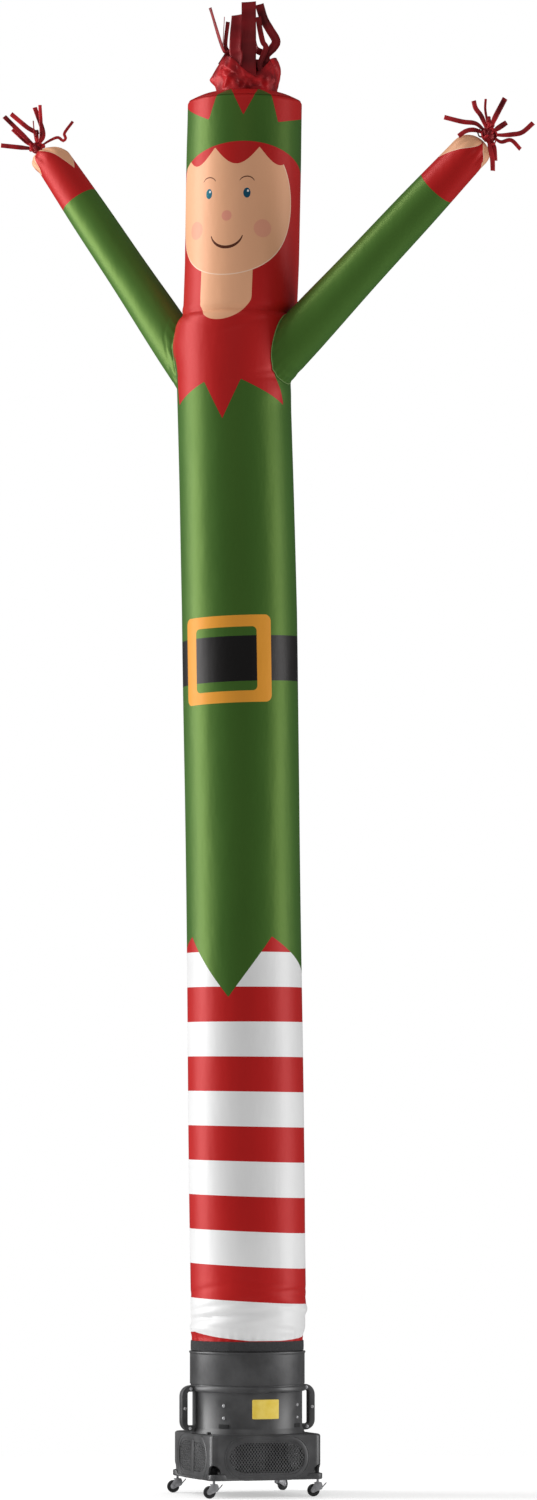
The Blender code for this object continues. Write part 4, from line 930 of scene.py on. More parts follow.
def build_strap(material):
    """Webbing round the hem with its end lapped over and stitched."""
    bearings = np.linspace(-180.0, 180.0, 181)
    lap = smooth_share(bearings, STRAP_LAP[0] - 1.5, STRAP_LAP[0])
    lap = lap * (1.0 - smooth_share(bearings, STRAP_LAP[1], STRAP_LAP[1] + 1.5))
    thick = STRAP_THICKNESS + STRAP_LAP_EXTRA * lap
    rings = []
    for out, drawn_in, share in STRAP_SECTION:
        radius = HEM_RADIUS + 0.0004 + out * thick - drawn_in
        height = STRAP_BOTTOM + (STRAP_TOP - STRAP_BOTTOM) * share
        ring = heading(bearings) * radius[:, None] + np.array([AXIS_X, AXIS_Y, height])
        rings.append(ring[:-1])
    along = np.array([0.0, 0.039, 0.040, 0.060, 0.079, 0.120])
    piece = grid_object("hem_strap", np.stack(rings), bearings, along, material)
    weld(piece)
    return finish_piece(piece, "cinch_strap")


# ---- blower: sizes --------------------------------------------------------------------------
def mm(*rows):
    """Rows of millimetres as metres."""
    return [tuple(MM * part for part in row) for row in rows]


WALL = 0.004
BASE_BOTTOM = 0.068
BASE_RIM_TOP = 0.092
BASE_HALF = 0.2375
BASE_SIDE = 0.2330          # between its ears the tray is flush with the box
BASE_SIDE_TOP = 0.0756
BASE_EAR = 0.060            # length of an ear along each side
BOX_FOOT = 0.0743
BOX_HALF = 0.2315
BOX_TOP = 0.246
BOX_CORNER = 0.030
BOX_EDGE = 0.009            # rounding of its upper edge
CAVITY_HALF = BOX_HALF - 2.5 * WALL
CAVITY_CORNER = 0.120
DUCT_RADIUS = 0.2105
BARREL_RADIUS = 0.2175
ON_BARREL = BARREL_RADIUS + 0.0003          # where pieces that lie against the barrel begin
GRILLE_WIDTH = 0.325
GRILLE_HEIGHT = 0.136
GRILLE_MIDDLE = 0.155
GRILLE_FRONT = -BOX_HALF + 0.0033
GRILLE_BACK = GRILLE_FRONT + 0.0030
GRILLE_RIB = 0.032
MESH_PITCH = (0.0122, 0.0082)       # across a row, from row to row
MESH_HOLE = (0.0046, 0.0071)        # half width, half height
MESH_REACH = (0.1560, 0.0655)
MESH_POWER = 2.6            # how square the mesh's outline is
POCKET_REACH = BOX_HALF - 0.010
POCKET_RADIUS = 0.030
POCKET_TOP = 0.128

# Outside of the collar from its foot up: radius, height.
COLLAR_OUTSIDE = mm(
    (228, 246.3), (226.2, 250), (224, 256), (219.5, 265), (217.5, 270), (217.5, 406),
    (218.5, 409), (228, 411), (230, 414.5), (230.6, 420), (230, 426), (228, 430.5), (224, 433),
    (223.8, 435.5), (226.8, 438), (227.5, 440), (227.5, 556), (228, 558.5), (230, 560.5),
    (230.6, 564), (229.6, 566.8), (220, 568), (217.2, 569), (217.2, 639),
)

# Section of the moulding round a grille: out from the window's edge, proud of the box.
FRAME_SECTION = mm((-0.5, -1), (0, 0.6), (3, 0.8), (12.5, 0.8), (14, -0.4), (15.6, -0.4),
                   (16.8, 1.4), (19, 1.2), (20, -0.8))
FRAME_SQUEEZE = 0.975       # share of the width that the oval moulding keeps

HANDLE_DEPTH = 0.035
HANDLE_REACH = 0.279
HANDLE_TOP, HANDLE_FOOT = 0.433, 0.252
GRIP_TOP, GRIP_FOOT = 0.409, 0.276          # of the opening for the hand
KNOB_PLACE = (-0.2130, -0.1430)
KNOB = mm((9.8, 0), (10, 4.5), (9.4, 6.5), (8, 8), (6, 8.8), (4.5, 9), (4, 7.8), (0.5, 7.6))
HANDLE_BOLTS = ((0.243, 0.420), (0.2675, 0.343), (0.246, 0.265))    # radius, height
BARREL_BOLTS = (0.309, 0.358)

# Radius and height, from a bolt's washer to its domed head and from a nut's foot to its top.
BOLT = mm((6.5, 0), (6.5, 0.64), (6.24, 0.88), (5.2, 0.96), (5.07, 1.8), (4.68, 2.88),
          (3.9, 3.6), (2.925, 3.92), (2.34, 4))
BOLT_SOCKET = 0.0018        # depth of its socket
NUT = mm((7.05, 0), (7.5, 0.72), (7.5, 11.28), (6.75, 12))
NUT_REACH = BOX_HALF - 0.014
CLIP = mm((269.5, 0.6), (270, 3), (284.5, 3), (285, 0.6))       # height, how far it stands out
CLIP_WIDTH = 0.043
LABEL_WIDTH = 0.112
LABEL_LOW, LABEL_HIGH = 0.3065, 0.3825
LABEL_CORNER = 0.004
LABEL_SHEET = 0.0010

CASTER_REACH = 0.217
WHEEL_RADIUS = 0.0245
WHEEL_WIDTH = 0.018
TRAIL = 0.017
FORK_PLATE = 0.0025
FORK_GAP = 0.0215
AXLE_RADIUS = 0.0040
STEM = mm((15, 53), (15.8, 53.3), (16, 54), (16, 54.8), (15, 55.6), (12.5, 56), (7, 56.2),
          (6.2, 57.5), (5, 58), (5, 67.7))
CHEEK = mm(
    (-10, 54.5), (11, 54.5), (15, 52.5), (17.8, 49), (19, 44), (19.2, 38), (18.5, 32), (16.5, 29),
    (6, 24.5), (-6, 19), (-12, 16), (-17, 14.5), (-21.2, 15.5), (-24.3, 18), (-26.2, 22),
    (-26.2, 27), (-24.5, 32), (-21.5, 37), (-18, 42), (-15, 47.5),
)
AXLE_CAP = mm((5.5, 0), (5.5, 1.6), (4.4, 2.4))

# Half sections from the middle outwards: in from the wheel's radius, in from its side.
TYRE_HALF = mm((11.5, 2), (5, 0), (2.5, 0.4), (0.8, 1.8), (0, 4))
CORE_HALF = mm((20.2, 0), (17, 0), (15, 0.6), (14, 3), (11.5, 3))
PEDAL = mm((-4, -2), (23.5, -2), (27.5, -1.2), (29.8, 0), (28, 1.4), (23.5, 2), (18.5, 1.6),
           (-4, 2))
PEDAL_WIDTH = 0.016
PEDAL_PIVOT = (0.0150, 0.033)
PEDAL_RISE = 48.0

# Corner of the blower: side along X, side along Y, direction in which its caster trails.
CORNERS = {
    "front_left": (-1, -1, 160.0),
    "front_right": (1, -1, 160.0),
    "back_left": (-1, 1, 160.0),
    "back_right": (1, 1, 30.0),
}
GRILLE_SIDES = {
    "front": (0.0, False), "right": (90.0, True), "back": (180.0, False), "left": (270.0, True),
}
SQUARE = ((-1, -1), (1, -1), (1, 1), (-1, 1))
AROUND = ((0, 1), (1, 2), (2, 3), (3, 0))


def turned(degrees, axis="Z"):
    return Matrix.Rotation(degrees * DEGREE, 4, axis)


def moved(x, y, z=0.0):
    return Matrix.Translation((x, y, z))


BLOWER_PLACE = moved(AXIS_X, AXIS_Y) @ turned(BLOWER_TURN)


def mesh_of(name, bm, place):
    """Mesh from a bmesh, moved from the blower's own axes to its place in the shared frame."""
    bmesh.ops.recalc_face_normals(bm, faces=bm.faces)
    mesh = bpy.data.meshes.new(name)
    bm.to_mesh(mesh)
    bm.free()
    mesh.transform(BLOWER_PLACE @ place)
    return mesh


def bm_object(name, bm, material, replaces=None, place=Matrix(), body=BODY, angle=38.0):
    mesh = mesh_of(name, bm, place)
    mesh.materials.append(material)
    smooth_mesh(mesh, angle)
    return finish_piece(linked(name, mesh), replaces, body)


def cutter(bm, place=Matrix()):
    return linked("cutter", mesh_of("cutter", bm, place))


def rings_mesh(rings, closed=False, bm=None):
    """Skin over rings of equal count; a closed stack joins its last ring to its first."""
    bm = bm or bmesh.new()
    rows = [[bm.verts.new(spot) for spot in ring] for ring in rings]
    for low, high in zip(rows, rows[1:] + (rows[:1] if closed else [])):
        for j in range(len(low)):
            n = (j + 1) % len(low)
            bm.faces.new((low[j], low[n], high[n], high[j]))
    if not closed:
        bm.faces.new(rows[0][::-1])
        bm.faces.new(rows[-1])
    return bm


def circles(profile, sides):
    """Rings about Z for rows of radius and height."""
    turns = [2 * math.pi * k / sides for k in range(sides)]
    return [[Vector((r * math.sin(t), -r * math.cos(t), z)) for t in turns] for r, z in profile]


def lathe(profile, sides, closed=False):
    return rings_mesh(circles(profile, sides), closed)


def arc(x, y, radius, start, turn, steps):
    """Points on an arc about a middle, from an angle in degrees through a turn."""
    angles = [(start + turn * k / steps) * DEGREE for k in range(steps + 1)]
    return [(x + radius * math.cos(angle), y + radius * math.sin(angle)) for angle in angles]


def quarter(steps, first=0):
    """1 - sine and 1 - cosine at even steps of a quarter turn, from the given step on."""
    angles = [math.pi / 2 * k / steps for k in range(first, steps + 1)]
    return [(1 - math.sin(angle), 1 - math.cos(angle)) for angle in angles]


def rounded_square(half, corner, height):
    inner = half - corner
    ring = []
    for k, (sx, sy) in enumerate(SQUARE[1:] + SQUARE[:1]):
        ring += arc(sx * inner, sy * inner, corner, 90.0 * k - 90.0, 90.0, 10)
    return [(x, y, height) for x, y in ring]


def window(grow, steps=24):
    """Outline of a grille's window with round ends, from its lower right end."""
    radius = GRILLE_HEIGHT / 2 + grow
    straight = (GRILLE_WIDTH - GRILLE_HEIGHT) / 2
    return (arc(straight, GRILLE_MIDDLE, radius, -90.0, 180.0, steps)
            + arc(-straight, GRILLE_MIDDLE, radius, 90.0, 180.0, steps))


def extruded(outline, near, far):
    """Prism of an (x, z) outline between two places along Y."""
    return rings_mesh([[(x, y, z) for x, z in outline] for y in (near, far)])


def soften(bm, width, segments=2, angle=50.0):
    """Rounds every edge sharper than angle."""
    bmesh.ops.recalc_face_normals(bm, faces=bm.faces)
    sharp = [e for e in bm.edges
             if len(e.link_faces) == 2 and e.calc_face_angle(0.0) > angle * DEGREE]
    bmesh.ops.bevel(bm, geom=sharp, offset=width, segments=segments, profile=0.5,
                    affect="EDGES", clamp_overlap=True)
    return bm


def carve(piece, cutters):
    """Cuts the cutters out of a piece and drops them."""
    for tool in cutters:
        cut = piece.modifiers.new("cut", "BOOLEAN")
        cut.operation = "DIFFERENCE"
        cut.solver = "EXACT"
        cut.object = tool
    depsgraph = bpy.context.evaluated_depsgraph_get()
    mesh = bpy.data.meshes.new_from_object(piece.evaluated_get(depsgraph))
    piece.modifiers.clear()
    old, piece.data = piece.data, mesh
    bpy.data.meshes.remove(old)
    mesh.name = piece.name
    for tool in cutters:
        bpy.data.objects.remove(tool, do_unlink=True)


# ---- blower: pieces -------------------------------------------------------------------------
def build_collar(material):
    inside = [(radius - WALL, height) for radius, height in COLLAR_OUTSIDE[::-1]]
    bm_object("outlet_shell", lathe(COLLAR_OUTSIDE + inside, 144, closed=True), material,
              "outlet_collar")


def build_housing(material):
    rings = [rounded_square(BOX_HALF, BOX_CORNER, z) for z in (BOX_FOOT, BOX_TOP - BOX_EDGE)]
    rings += [rounded_square(BOX_HALF - BOX_EDGE * c, BOX_CORNER, BOX_TOP - BOX_EDGE * s)
              for s, c in quarter(4, 1)]
    housing = bm_object("housing_shell", rings_mesh(rings), material, "blower_box")
    cutters = [
        cutter(rings_mesh([rounded_square(CAVITY_HALF, CAVITY_CORNER, z)
                           for z in (BOX_FOOT - 0.01, BOX_TOP - WALL)])),
        cutter(lathe([(DUCT_RADIUS, BOX_TOP - 0.02), (DUCT_RADIUS, BOX_TOP + 0.02)], 144)),
    ]
    for k in range(4):
        opening = extruded(window(0.0003, 18), -BOX_HALF - 0.02, -BOX_HALF + 0.03)
        cutters.append(cutter(opening, turned(90.0 * k)))
    arch = [(POCKET_RADIUS, BOX_FOOT - 0.01)]
    arch += [(max(POCKET_RADIUS * (1 - c), 0.0005), POCKET_TOP - POCKET_RADIUS * s)
             for s, c in quarter(8)]
    for sx, sy, _ in CORNERS.values():
        cutters.append(cutter(lathe(arch, 32), moved(sx * POCKET_REACH, sy * POCKET_REACH)))
    carve(housing, cutters)
    smooth_mesh(housing.data, 30.0)


def build_grille_mesh(name, replaces, with_rib, material, place):
    """Plate of upright diamond holes in staggered rows, plain where the rib lies over it."""
    bm = bmesh.new()
    corners = {}

    def corner(x, z, y):
        key = (round(x * 1e5), round(z * 1e5), round(y * 1e5))
        if key not in corners:
            corners[key] = bm.verts.new((x, y, z + GRILLE_MIDDLE))
        return corners[key]

    def diamond(x, z, half_width, half_height):
        return [(x + half_width, z), (x, z + half_height), (x - half_width, z),
                (x, z - half_height)]

    pitch, rise = MESH_PITCH
    for row, column in ((row, column) for row in range(-9, 10) for column in range(-15, 16)):
        x, z = (column + 0.5 * (row % 2)) * pitch, row * rise
        if ((abs(x) / (MESH_REACH[0] + 0.004)) ** MESH_POWER
                + (abs(z) / (MESH_REACH[1] + 0.0035)) ** MESH_POWER > 1):
            continue
        tile = diamond(x, z, pitch / 2, rise)
        hole = diamond(x, z, *MESH_HOLE)
        holed = not (with_rib and abs(x) < GRILLE_RIB / 2)
        for y, way in ((GRILLE_FRONT, 1), (GRILLE_BACK, -1)):
            outer = [corner(*spot, y) for spot in tile]
            if not holed:
                bm.faces.new(outer[::way])
                continue
            inner = [corner(*spot, y) for spot in hole]
            for k, n in AROUND:
                bm.faces.new((outer[k], outer[n], inner[n], inner[k])[::way])
        if holed:
            for k, n in AROUND:
                a, b = hole[k], hole[n]
                bm.faces.new((corner(*a, GRILLE_FRONT), corner(*b, GRILLE_FRONT),
                              corner(*b, GRILLE_BACK), corner(*a, GRILLE_BACK)))
    bm_object(name, bm, material, replaces, place, angle=25.0)


def build_grille(side, turn, with_rib, mesh_material, material):
    """Mesh, its border, the rib over it and the low grooved moulding round its window."""
    place = turned(turn)
    build_grille_mesh("grille_mesh_" + side, "grille_" + side, with_rib, mesh_material, place)
    outer, inner = window(-0.0003), []
    for x, z in outer:
        z -= GRILLE_MIDDLE
        bearing = math.atan2(z / MESH_REACH[1], x / MESH_REACH[0])
        cx, cz = (math.copysign(abs(part) ** (2.0 / MESH_POWER), part) * reach
                  for part, reach in zip((math.cos(bearing), math.sin(bearing)), MESH_REACH))
        share = min(1.0, 0.985 * math.hypot(x, z) / math.hypot(cx, cz))
        inner.append((cx * share, cz * share + GRILLE_MIDDLE))
    face_y = GRILLE_FRONT - 0.0016
    rings = [[(x, y, z) for x, z in ring]
             for ring, y in ((outer, GRILLE_BACK), (outer, face_y), (inner, face_y),
                             (inner, GRILLE_FRONT + 0.0004))]
    bm_object("grille_rim_" + side, rings_mesh(rings, closed=True), material,
              place=place, angle=50.0)
    if with_rib:
        half = GRILLE_HEIGHT / 2 - 0.003
        outline = [(sx * GRILLE_RIB / 2, GRILLE_MIDDLE + sz * half) for sx, sz in SQUARE]
        rib = extruded(outline, GRILLE_FRONT - 0.0035, GRILLE_FRONT + 0.0005)
        bm_object("grille_rib_" + side, soften(rib, 0.0012), material, place=place)
    rings = [[(x * FRAME_SQUEEZE, -BOX_HALF - proud, z) for x, z in window(grow)]
             for grow, proud in FRAME_SECTION]
    bm_object("grille_surround_" + side, rings_mesh(rings, closed=True), material,
              place=place, angle=50.0)


def eared_square(ear_half, side_half, ear_height, side_height):
    """Ring round a square whose corners stand out as ears."""
    reach = BASE_HALF - BASE_EAR
    middle = ear_half - BOX_CORNER
    ear = arc(middle, middle, BOX_CORNER, 0.0, 90.0, 10)
    ear = [(x, y, ear_height) for x, y in [(ear_half, reach), *ear, (reach, ear_half)]]
    corner = [(side_half, reach - 0.010, side_height), *ear,
              (reach - 0.010, side_half, side_height)]
    return [turned(90.0 * k) @ Vector(spot) for k in range(4) for spot in corner]


def build_tray(material):
    """Flat tray under the housing, with a rimmed ear round each caster's corner."""
    rings = [eared_square(BASE_HALF - 0.006, BASE_SIDE - 0.003, BASE_BOTTOM, BASE_BOTTOM)]
    rings += [eared_square(BASE_HALF - 0.005 * s, BASE_SIDE - 0.002 * s,
                           BASE_BOTTOM + 0.005 * c, BASE_BOTTOM + 0.002 * c)
              for s, c in quarter(4)]
    rings += [eared_square(BASE_HALF - 0.003 * c, BASE_SIDE - 0.0008 * c,
                           BASE_RIM_TOP - 0.003 * s, BASE_SIDE_TOP - 0.0008 * s)
              for s, c in quarter(4)]
    inner = BOX_HALF + 0.0003
    rings.append(eared_square(inner, inner, BASE_RIM_TOP, BASE_SIDE_TOP))
    rings.append(eared_square(inner, inner, BOX_FOOT - 0.0003, BOX_FOOT - 0.0003))
    bm_object("tray_shell", rings_mesh(rings), material, "base_tray")


def build_handle(side, sign, material):
    def corner(x, z, radius, start):
        """Rounded corner of an outline, about a middle that lies in from (x, z)."""
        sx, sz = SQUARE[(start // 90 + 2) % 4]
        return arc(x - sx * radius, z - sz * radius, radius, start, 90.0, 7)

    near = ON_BARREL + 0.0015
    outer = [(0.2316, HANDLE_TOP), *corner(HANDLE_REACH, HANDLE_TOP, 0.042, 0)[::-1],
             *corner(HANDLE_REACH, HANDLE_FOOT, 0.040, -90)[::-1], (0.2295, HANDLE_FOOT),
             (0.2285, 0.256), (ON_BARREL + 0.003, 0.270), (near, GRIP_FOOT), (near, 0.4075),
             (0.2316, 0.4085)]
    grip_near, grip_far = ON_BARREL + WALL, HANDLE_REACH - 0.023
    hole = (corner(grip_far, GRIP_FOOT, 0.008, -90) + corner(grip_far, GRIP_TOP, 0.008, 0)
            + corner(grip_near, GRIP_TOP, 0.005, 90) + corner(grip_near, GRIP_FOOT, 0.005, 180))
    half = HANDLE_DEPTH / 2
    outer, hole = ([(sign * x, z) for x, z in outline] for outline in (outer, hole))
    bail = bm_object("handle_bail_" + side, extruded(outer, -half, half), material,
                     "handle_" + side)
    carve(bail, [cutter(extruded(hole, -half - 0.01, half + 0.01))])
    bm = bmesh.new()
    bm.from_mesh(bail.data)
    bmesh.ops.remove_doubles(bm, verts=bm.verts, dist=1e-5)
    soften(bm, 0.0045, 4)
    bm.to_mesh(bail.data)
    bm.free()
    smooth_mesh(bail.data, 40.0)


def build_bolt(name, material, place):
    """Washer and domed head with a six-sided socket, standing on Z = 0."""
    bm = lathe(BOLT, 28)
    top = max(bm.faces, key=lambda face: face.calc_center_median().z)
    made = bmesh.ops.extrude_discrete_faces(bm, faces=[top])["faces"][0]
    for vert in made.verts:
        vert.co.z -= BOLT_SOCKET
        vert.co.x *= 0.9
        vert.co.y *= 0.9
    bm_object(name.replace("bolt", "screw"), bm, material, name, place)


def build_bolts(material):
    upright = turned(90.0, "X")
    for corner in range(4):
        turn = turned(45.0 + 90.0 * corner)
        for level, z in enumerate(BARREL_BOLTS):
            build_bolt("barrel_bolt_%d%d" % (corner, level), material,
                       turn @ moved(0.0, -ON_BARREL, z) @ upright)
    for side, sign in (("left", -1), ("right", 1)):
        for k, (radius, z) in enumerate(HANDLE_BOLTS):
            build_bolt("handle_bolt_%s_%d" % (side, k), material,
                       moved(sign * radius, -HANDLE_DEPTH / 2 - 0.0003, z) @ upright)
    for name, (sx, sy, _) in CORNERS.items():
        bm_object("hex_nut_" + name, lathe(NUT, 6), material, "corner_nut_" + name,
                  moved(sx * NUT_REACH, sy * NUT_REACH, BOX_FOOT), angle=25.0)


def build_label(material):
    """Bare metal-backed plate bent round the barrel, its corners rounded."""
    half = LABEL_WIDTH / 2
    zs = [0, 0.004, 0.014, 0.03, 0.05, *np.linspace(0.1, 0.9, 15), 0.95, 0.97, 0.986, 0.996, 1]
    xs = np.linspace(0.0, 1.0, 41)
    bm = bmesh.new()
    layer = bm.loops.layers.uv.new("print")
    grids = {}
    for face in (0.0, LABEL_SHEET):
        for i, share in enumerate(zs):
            z = LABEL_LOW + (LABEL_HIGH - LABEL_LOW) * share
            pull = max(LABEL_CORNER - (z - LABEL_LOW), LABEL_CORNER - (LABEL_HIGH - z), 0.0)
            limit = half - LABEL_CORNER + math.sqrt(max(LABEL_CORNER ** 2 - pull ** 2, 0.0))
            for j, x in enumerate(np.clip((xs - 0.5) * LABEL_WIDTH, -limit, limit)):
                spot = heading(x / ON_BARREL / DEGREE) * (ON_BARREL + face)
                grids[face, i, j] = (bm.verts.new((spot[0], spot[1], z)), (x, z))

    def quad(*keys):
        face = bm.faces.new([grids[key][0] for key in keys])
        for loop, key in zip(face.loops, keys):
            loop[layer].uv = grids[key][1]

    out, last_i, last_j = LABEL_SHEET, len(zs) - 1, len(xs) - 1
    for i in range(last_i):
        for j in range(last_j):
            quad((out, i, j), (out, i, j + 1), (out, i + 1, j + 1), (out, i + 1, j))
            quad((0.0, i, j), (0.0, i + 1, j), (0.0, i + 1, j + 1), (0.0, i, j + 1))
        for j in (0, last_j):
            quad((0.0, i, j), (out, i, j), (out, i + 1, j), (0.0, i + 1, j))
    for j in range(last_j):
        for i in (0, last_i):
            quad((0.0, i, j), (0.0, i, j + 1), (out, i, j + 1), (out, i, j))
    bm_object("label_sheet", bm, material, "label_plate")


def build_small_parts(dark):
    """Latch clips at the barrel's foot and the knob on the housing's corner, in near-black plastic
    that is also painted shade for the slots and the small hole there.
    """
    for corner in range(4):
        off = np.linspace(-0.5, 0.5, 9) * CLIP_WIDTH / BARREL_RADIUS
        turns = 45.0 + 90.0 * corner + off / DEGREE
        near = heading(turns) * (BARREL_RADIUS - MM)
        rings = []
        for z, out in CLIP:
            far = heading(turns[::-1]) * (BARREL_RADIUS + out)
            rings.append([(x, y, z) for x, y, _ in (*near, *far)])
        clip = soften(rings_mesh(rings), 0.0006, 1, 38.0)
        bm_object("latch_clip_%d" % corner, clip, dark, angle=30.0)
    bm_object("cap_knob", lathe(KNOB, 40), dark, "top_knob",
              moved(*KNOB_PLACE, BOX_TOP + 0.0003))


def build_caster(name, sx, sy, trail, zinc, rubber, core):
    stem = moved(sx * CASTER_REACH, sy * CASTER_REACH) @ turned(trail)
    inner = FORK_GAP / 2
    bm = lathe(STEM, 32)
    for side in (-1, 1):
        cheek = soften(extruded([(-x, z) for x, z in CHEEK],
                                *sorted((side * inner, side * (inner + FORK_PLATE)))), 0.0007)
        mesh = bpy.data.meshes.new("cheek")
        cheek.to_mesh(mesh)
        cheek.free()
        bm.from_mesh(mesh)
        bpy.data.meshes.remove(mesh)
        turn = moved(TRAIL, side * (inner + FORK_PLATE), WHEEL_RADIUS) @ turned(-90.0 * side, "X")
        rings_mesh([[turn @ spot for spot in ring] for ring in circles(AXLE_CAP, 20)], bm=bm)
    axle = circles([(AXLE_RADIUS, -inner - MM), (AXLE_RADIUS, inner + MM)], 24)
    turn = moved(TRAIL, 0.0, WHEEL_RADIUS) @ turned(90.0, "X")
    rings_mesh([[turn @ spot for spot in ring] for ring in axle], bm=bm)
    bm_object("caster_fork_" + name, bm, zinc, "fork_" + name, stem,
              "caster_" + name)

    def wheel_part(piece, half_section, sides, material, replaces=None):
        half = WHEEL_WIDTH / 2
        section = [(WHEEL_RADIUS - radius, inset - half) for radius, inset in half_section]
        section += [(radius, -place) for radius, place in section[::-1]]
        bm_object(piece + name, lathe(section, sides, closed=True), material, replaces,
                  stem @ turn, "wheel_" + name)

    wheel_part("tyre_", TYRE_HALF, 64, rubber, "wheel_" + name)
    wheel_part("wheel_core_", CORE_HALF, 48, core)
    outline = [(-x, z) for x, z in PEDAL]
    pedal = soften(extruded(outline, -PEDAL_WIDTH / 2, PEDAL_WIDTH / 2), 0.0006)
    ahead, height = PEDAL_PIVOT
    bm_object("foot_lever_" + name, pedal, zinc, "brake_pedal_" + name,
              stem @ moved(-ahead, 0.0, height) @ turned(PEDAL_RISE, "Y"), "pedal_" + name)


# ---- materials of the hard parts ------------------------------------------------------------
def scaled(colour, gain, lift=0.0):
    return tuple(gain * part + lift for part in colour)


def waves(value, length):
    """Sine of a place in metres, one turn in this length."""
    return (value * (2 * math.pi / length)).calc("SINE")


def satin_cloth(name, colour, dark, pace=(1.0, 6.0)):
    """Thin shiny lining cloth with fine creases; its colour runs in random patches between the dark
    colour and the red, painted shade and painted light.
    """
    finish = Finish(name, 0.34)
    finish.set("Specular Tint", (1.0, 0.22, 0.22))
    finish.set("Specular IOR Level", 0.7)
    across, along = finish.uv()
    cloud = finish.noise(finish.node("CombineXYZ", across * pace[0], along * pace[1]), 1.7, 2.0)
    # random dark and light patches: painted shade and painted light on the satin
    finish.set("Base Color", finish.blend(cloud, 0.36, 0.62, dark, colour))
    finish.set("Roughness", finish.remap(cloud, 0.2, 0.8, 0.28, 0.42))
    threads = finish.bump(waves(along, 0.0011), 0.00003)
    finish.bump(finish.noise(finish.place(), 38.0, 3.0, 0.55), 0.0006, over=threads)
    return finish.material


def webbing(name):
    """Close woven strap with a stitched edge; u in degrees round it, v across it."""
    finish = Finish(name, 0.82)
    across, along = finish.uv()
    weave = waves(across * ROUND_METRE, 0.0024) * waves(along, 0.0018)
    shade = finish.remap(weave, -1.0, 1.0, 0.25, 1.0)
    finish.set("Base Color", finish.mix(shade, (0.018, 0.018, 0.019), (0.060, 0.060, 0.062)))
    finish.bump(weave, 0.00035)
    return finish.material


def seam_cord(name, colour):
    finish = Finish(name, 0.5)
    stitch = waves(finish.uv()[1], 0.0035)
    finish.set("Base Color", finish.blend(stitch, -1.0, 1.0, scaled(colour, 0.62), colour))
    finish.bump(stitch, 0.0004)
    return finish.material


def cavity_shade_mask(finish, half):
    """Mask of painted shade: 1 inside the housing's cavity, of the given half width, and 0 outside
    it.
    """
    spot = finish.node("VectorMath", finish.place(), (AXIS_X, AXIS_Y, 0.0), operation="SUBTRACT")
    sides = [abs(finish.nodes("VectorMath", spot, (math.cos(turn), math.sin(turn), 0.0),
                              operation="DOT_PRODUCT")[1])
             for turn in (BLOWER_TURN * DEGREE, (BLOWER_TURN + 90.0) * DEGREE)]
    height = finish.nodes("SeparateXYZ", spot)[2]
    return (finish.remap(sides[0] | sides[1], half + 0.0025, half + 0.0010, 0.0, 1.0)
            * finish.remap(height, BOX_TOP - 0.0010, BOX_TOP - 0.0030, 0.0, 1.0))


def moulded(name, colour, roughness=0.40, shaded_hollow=None):
    """Moulded plastic: fine grain, soft dust and lighter rubbed edges.

    The last argument, the half width of the housing's cavity, paints what lies within it near
    black: painted shade for the dark inside of the housing.
    """
    finish = Finish(name, roughness)
    finish.set("Specular IOR Level", 0.95)
    spot = finish.place()
    cloud = finish.noise(spot, 9.0, 4.0, 0.6)
    tint = finish.blend(cloud, 0.30, 0.72, scaled(colour, 0.75), scaled(colour, 1.45, 0.004))
    rounded = finish.node("Bevel", 0.0022, samples=4)
    normal = finish.nodes("NewGeometry")[1]
    turn = finish.nodes("VectorMath", rounded, normal, operation="DOT_PRODUCT")[1]
    patches = finish.remap(finish.noise(spot, 60.0, 3.0), 0.35, 0.65, 0.0, 1.0)
    rubbed = finish.remap(turn, 0.995, 0.90, 0.0, 0.45) * patches
    surface = finish.mix(rubbed, tint, scaled(colour, 2.4, 0.02))
    # painted shade: the inside of the housing is painted near black
    if shaded_hollow:
        surface = finish.mix(cavity_shade_mask(finish, shaded_hollow), surface, CAVITY_SHADE)
    finish.set("Base Color", surface)
    finish.set("Roughness", finish.remap(cloud, 0.25, 0.75, roughness - 0.06, roughness + 0.08))
    finish.bump(finish.noise(spot, 900.0, 2.0, 0.6), 0.00005)
    return finish.material


def plated(name, colour, roughness=0.30):
    """Zinc-plated steel with a cloudy, finely scratched face."""
    finish = Finish(name, roughness, metallic=0.45)
    cloud = finish.noise(finish.place(), 45.0, 4.0, 0.6)
    finish.set("Base Color", finish.blend(cloud, 0.3, 0.7, scaled(colour, 0.55), colour))
    scratch = finish.noise(finish.place((1.0, 1.0, 14.0)), 260.0, 2.0)
    finish.set("Roughness", finish.remap(scratch, 0.3, 0.7, roughness - 0.08, roughness + 0.16))
    finish.bump(scratch, 0.00006)
    return finish.material


def rubber(name):
    finish = Finish(name, 0.72)
    spot = finish.place()
    finish.set("Base Color", finish.blend(finish.noise(spot, 70.0), 0.3, 0.7,
                                          (0.014, 0.014, 0.015), (0.040, 0.040, 0.042)))
    finish.bump(finish.noise(spot, 600.0), 0.00012)
    return finish.material


def bare_label(name):
    """Yellow film, left blank, with a paler rim and faint scuffs."""
    finish = Finish(name, 0.33)
    x, z = finish.uv()
    halves = (LABEL_WIDTH / 2 - 0.0035, (LABEL_HIGH - LABEL_LOW) / 2 - 0.0035)
    panel = finish.rounded(x, z - (LABEL_LOW + LABEL_HIGH) / 2, halves, 0.003)
    cloud = finish.noise(finish.place(), 26.0)
    yellow = finish.blend(cloud, 0.3, 0.7, (0.780, 0.560, 0.060), (0.860, 0.660, 0.130))
    finish.set("Base Color", finish.mix(panel, (0.840, 0.620, 0.100), yellow))
    finish.set("Roughness", finish.remap(cloud, 0.2, 0.8, 0.26, 0.44))
    step = finish.bump(panel, 0.00018)
    finish.bump(finish.noise(finish.place(), 220.0, 2.0), 0.00004, over=step)
    return finish.material


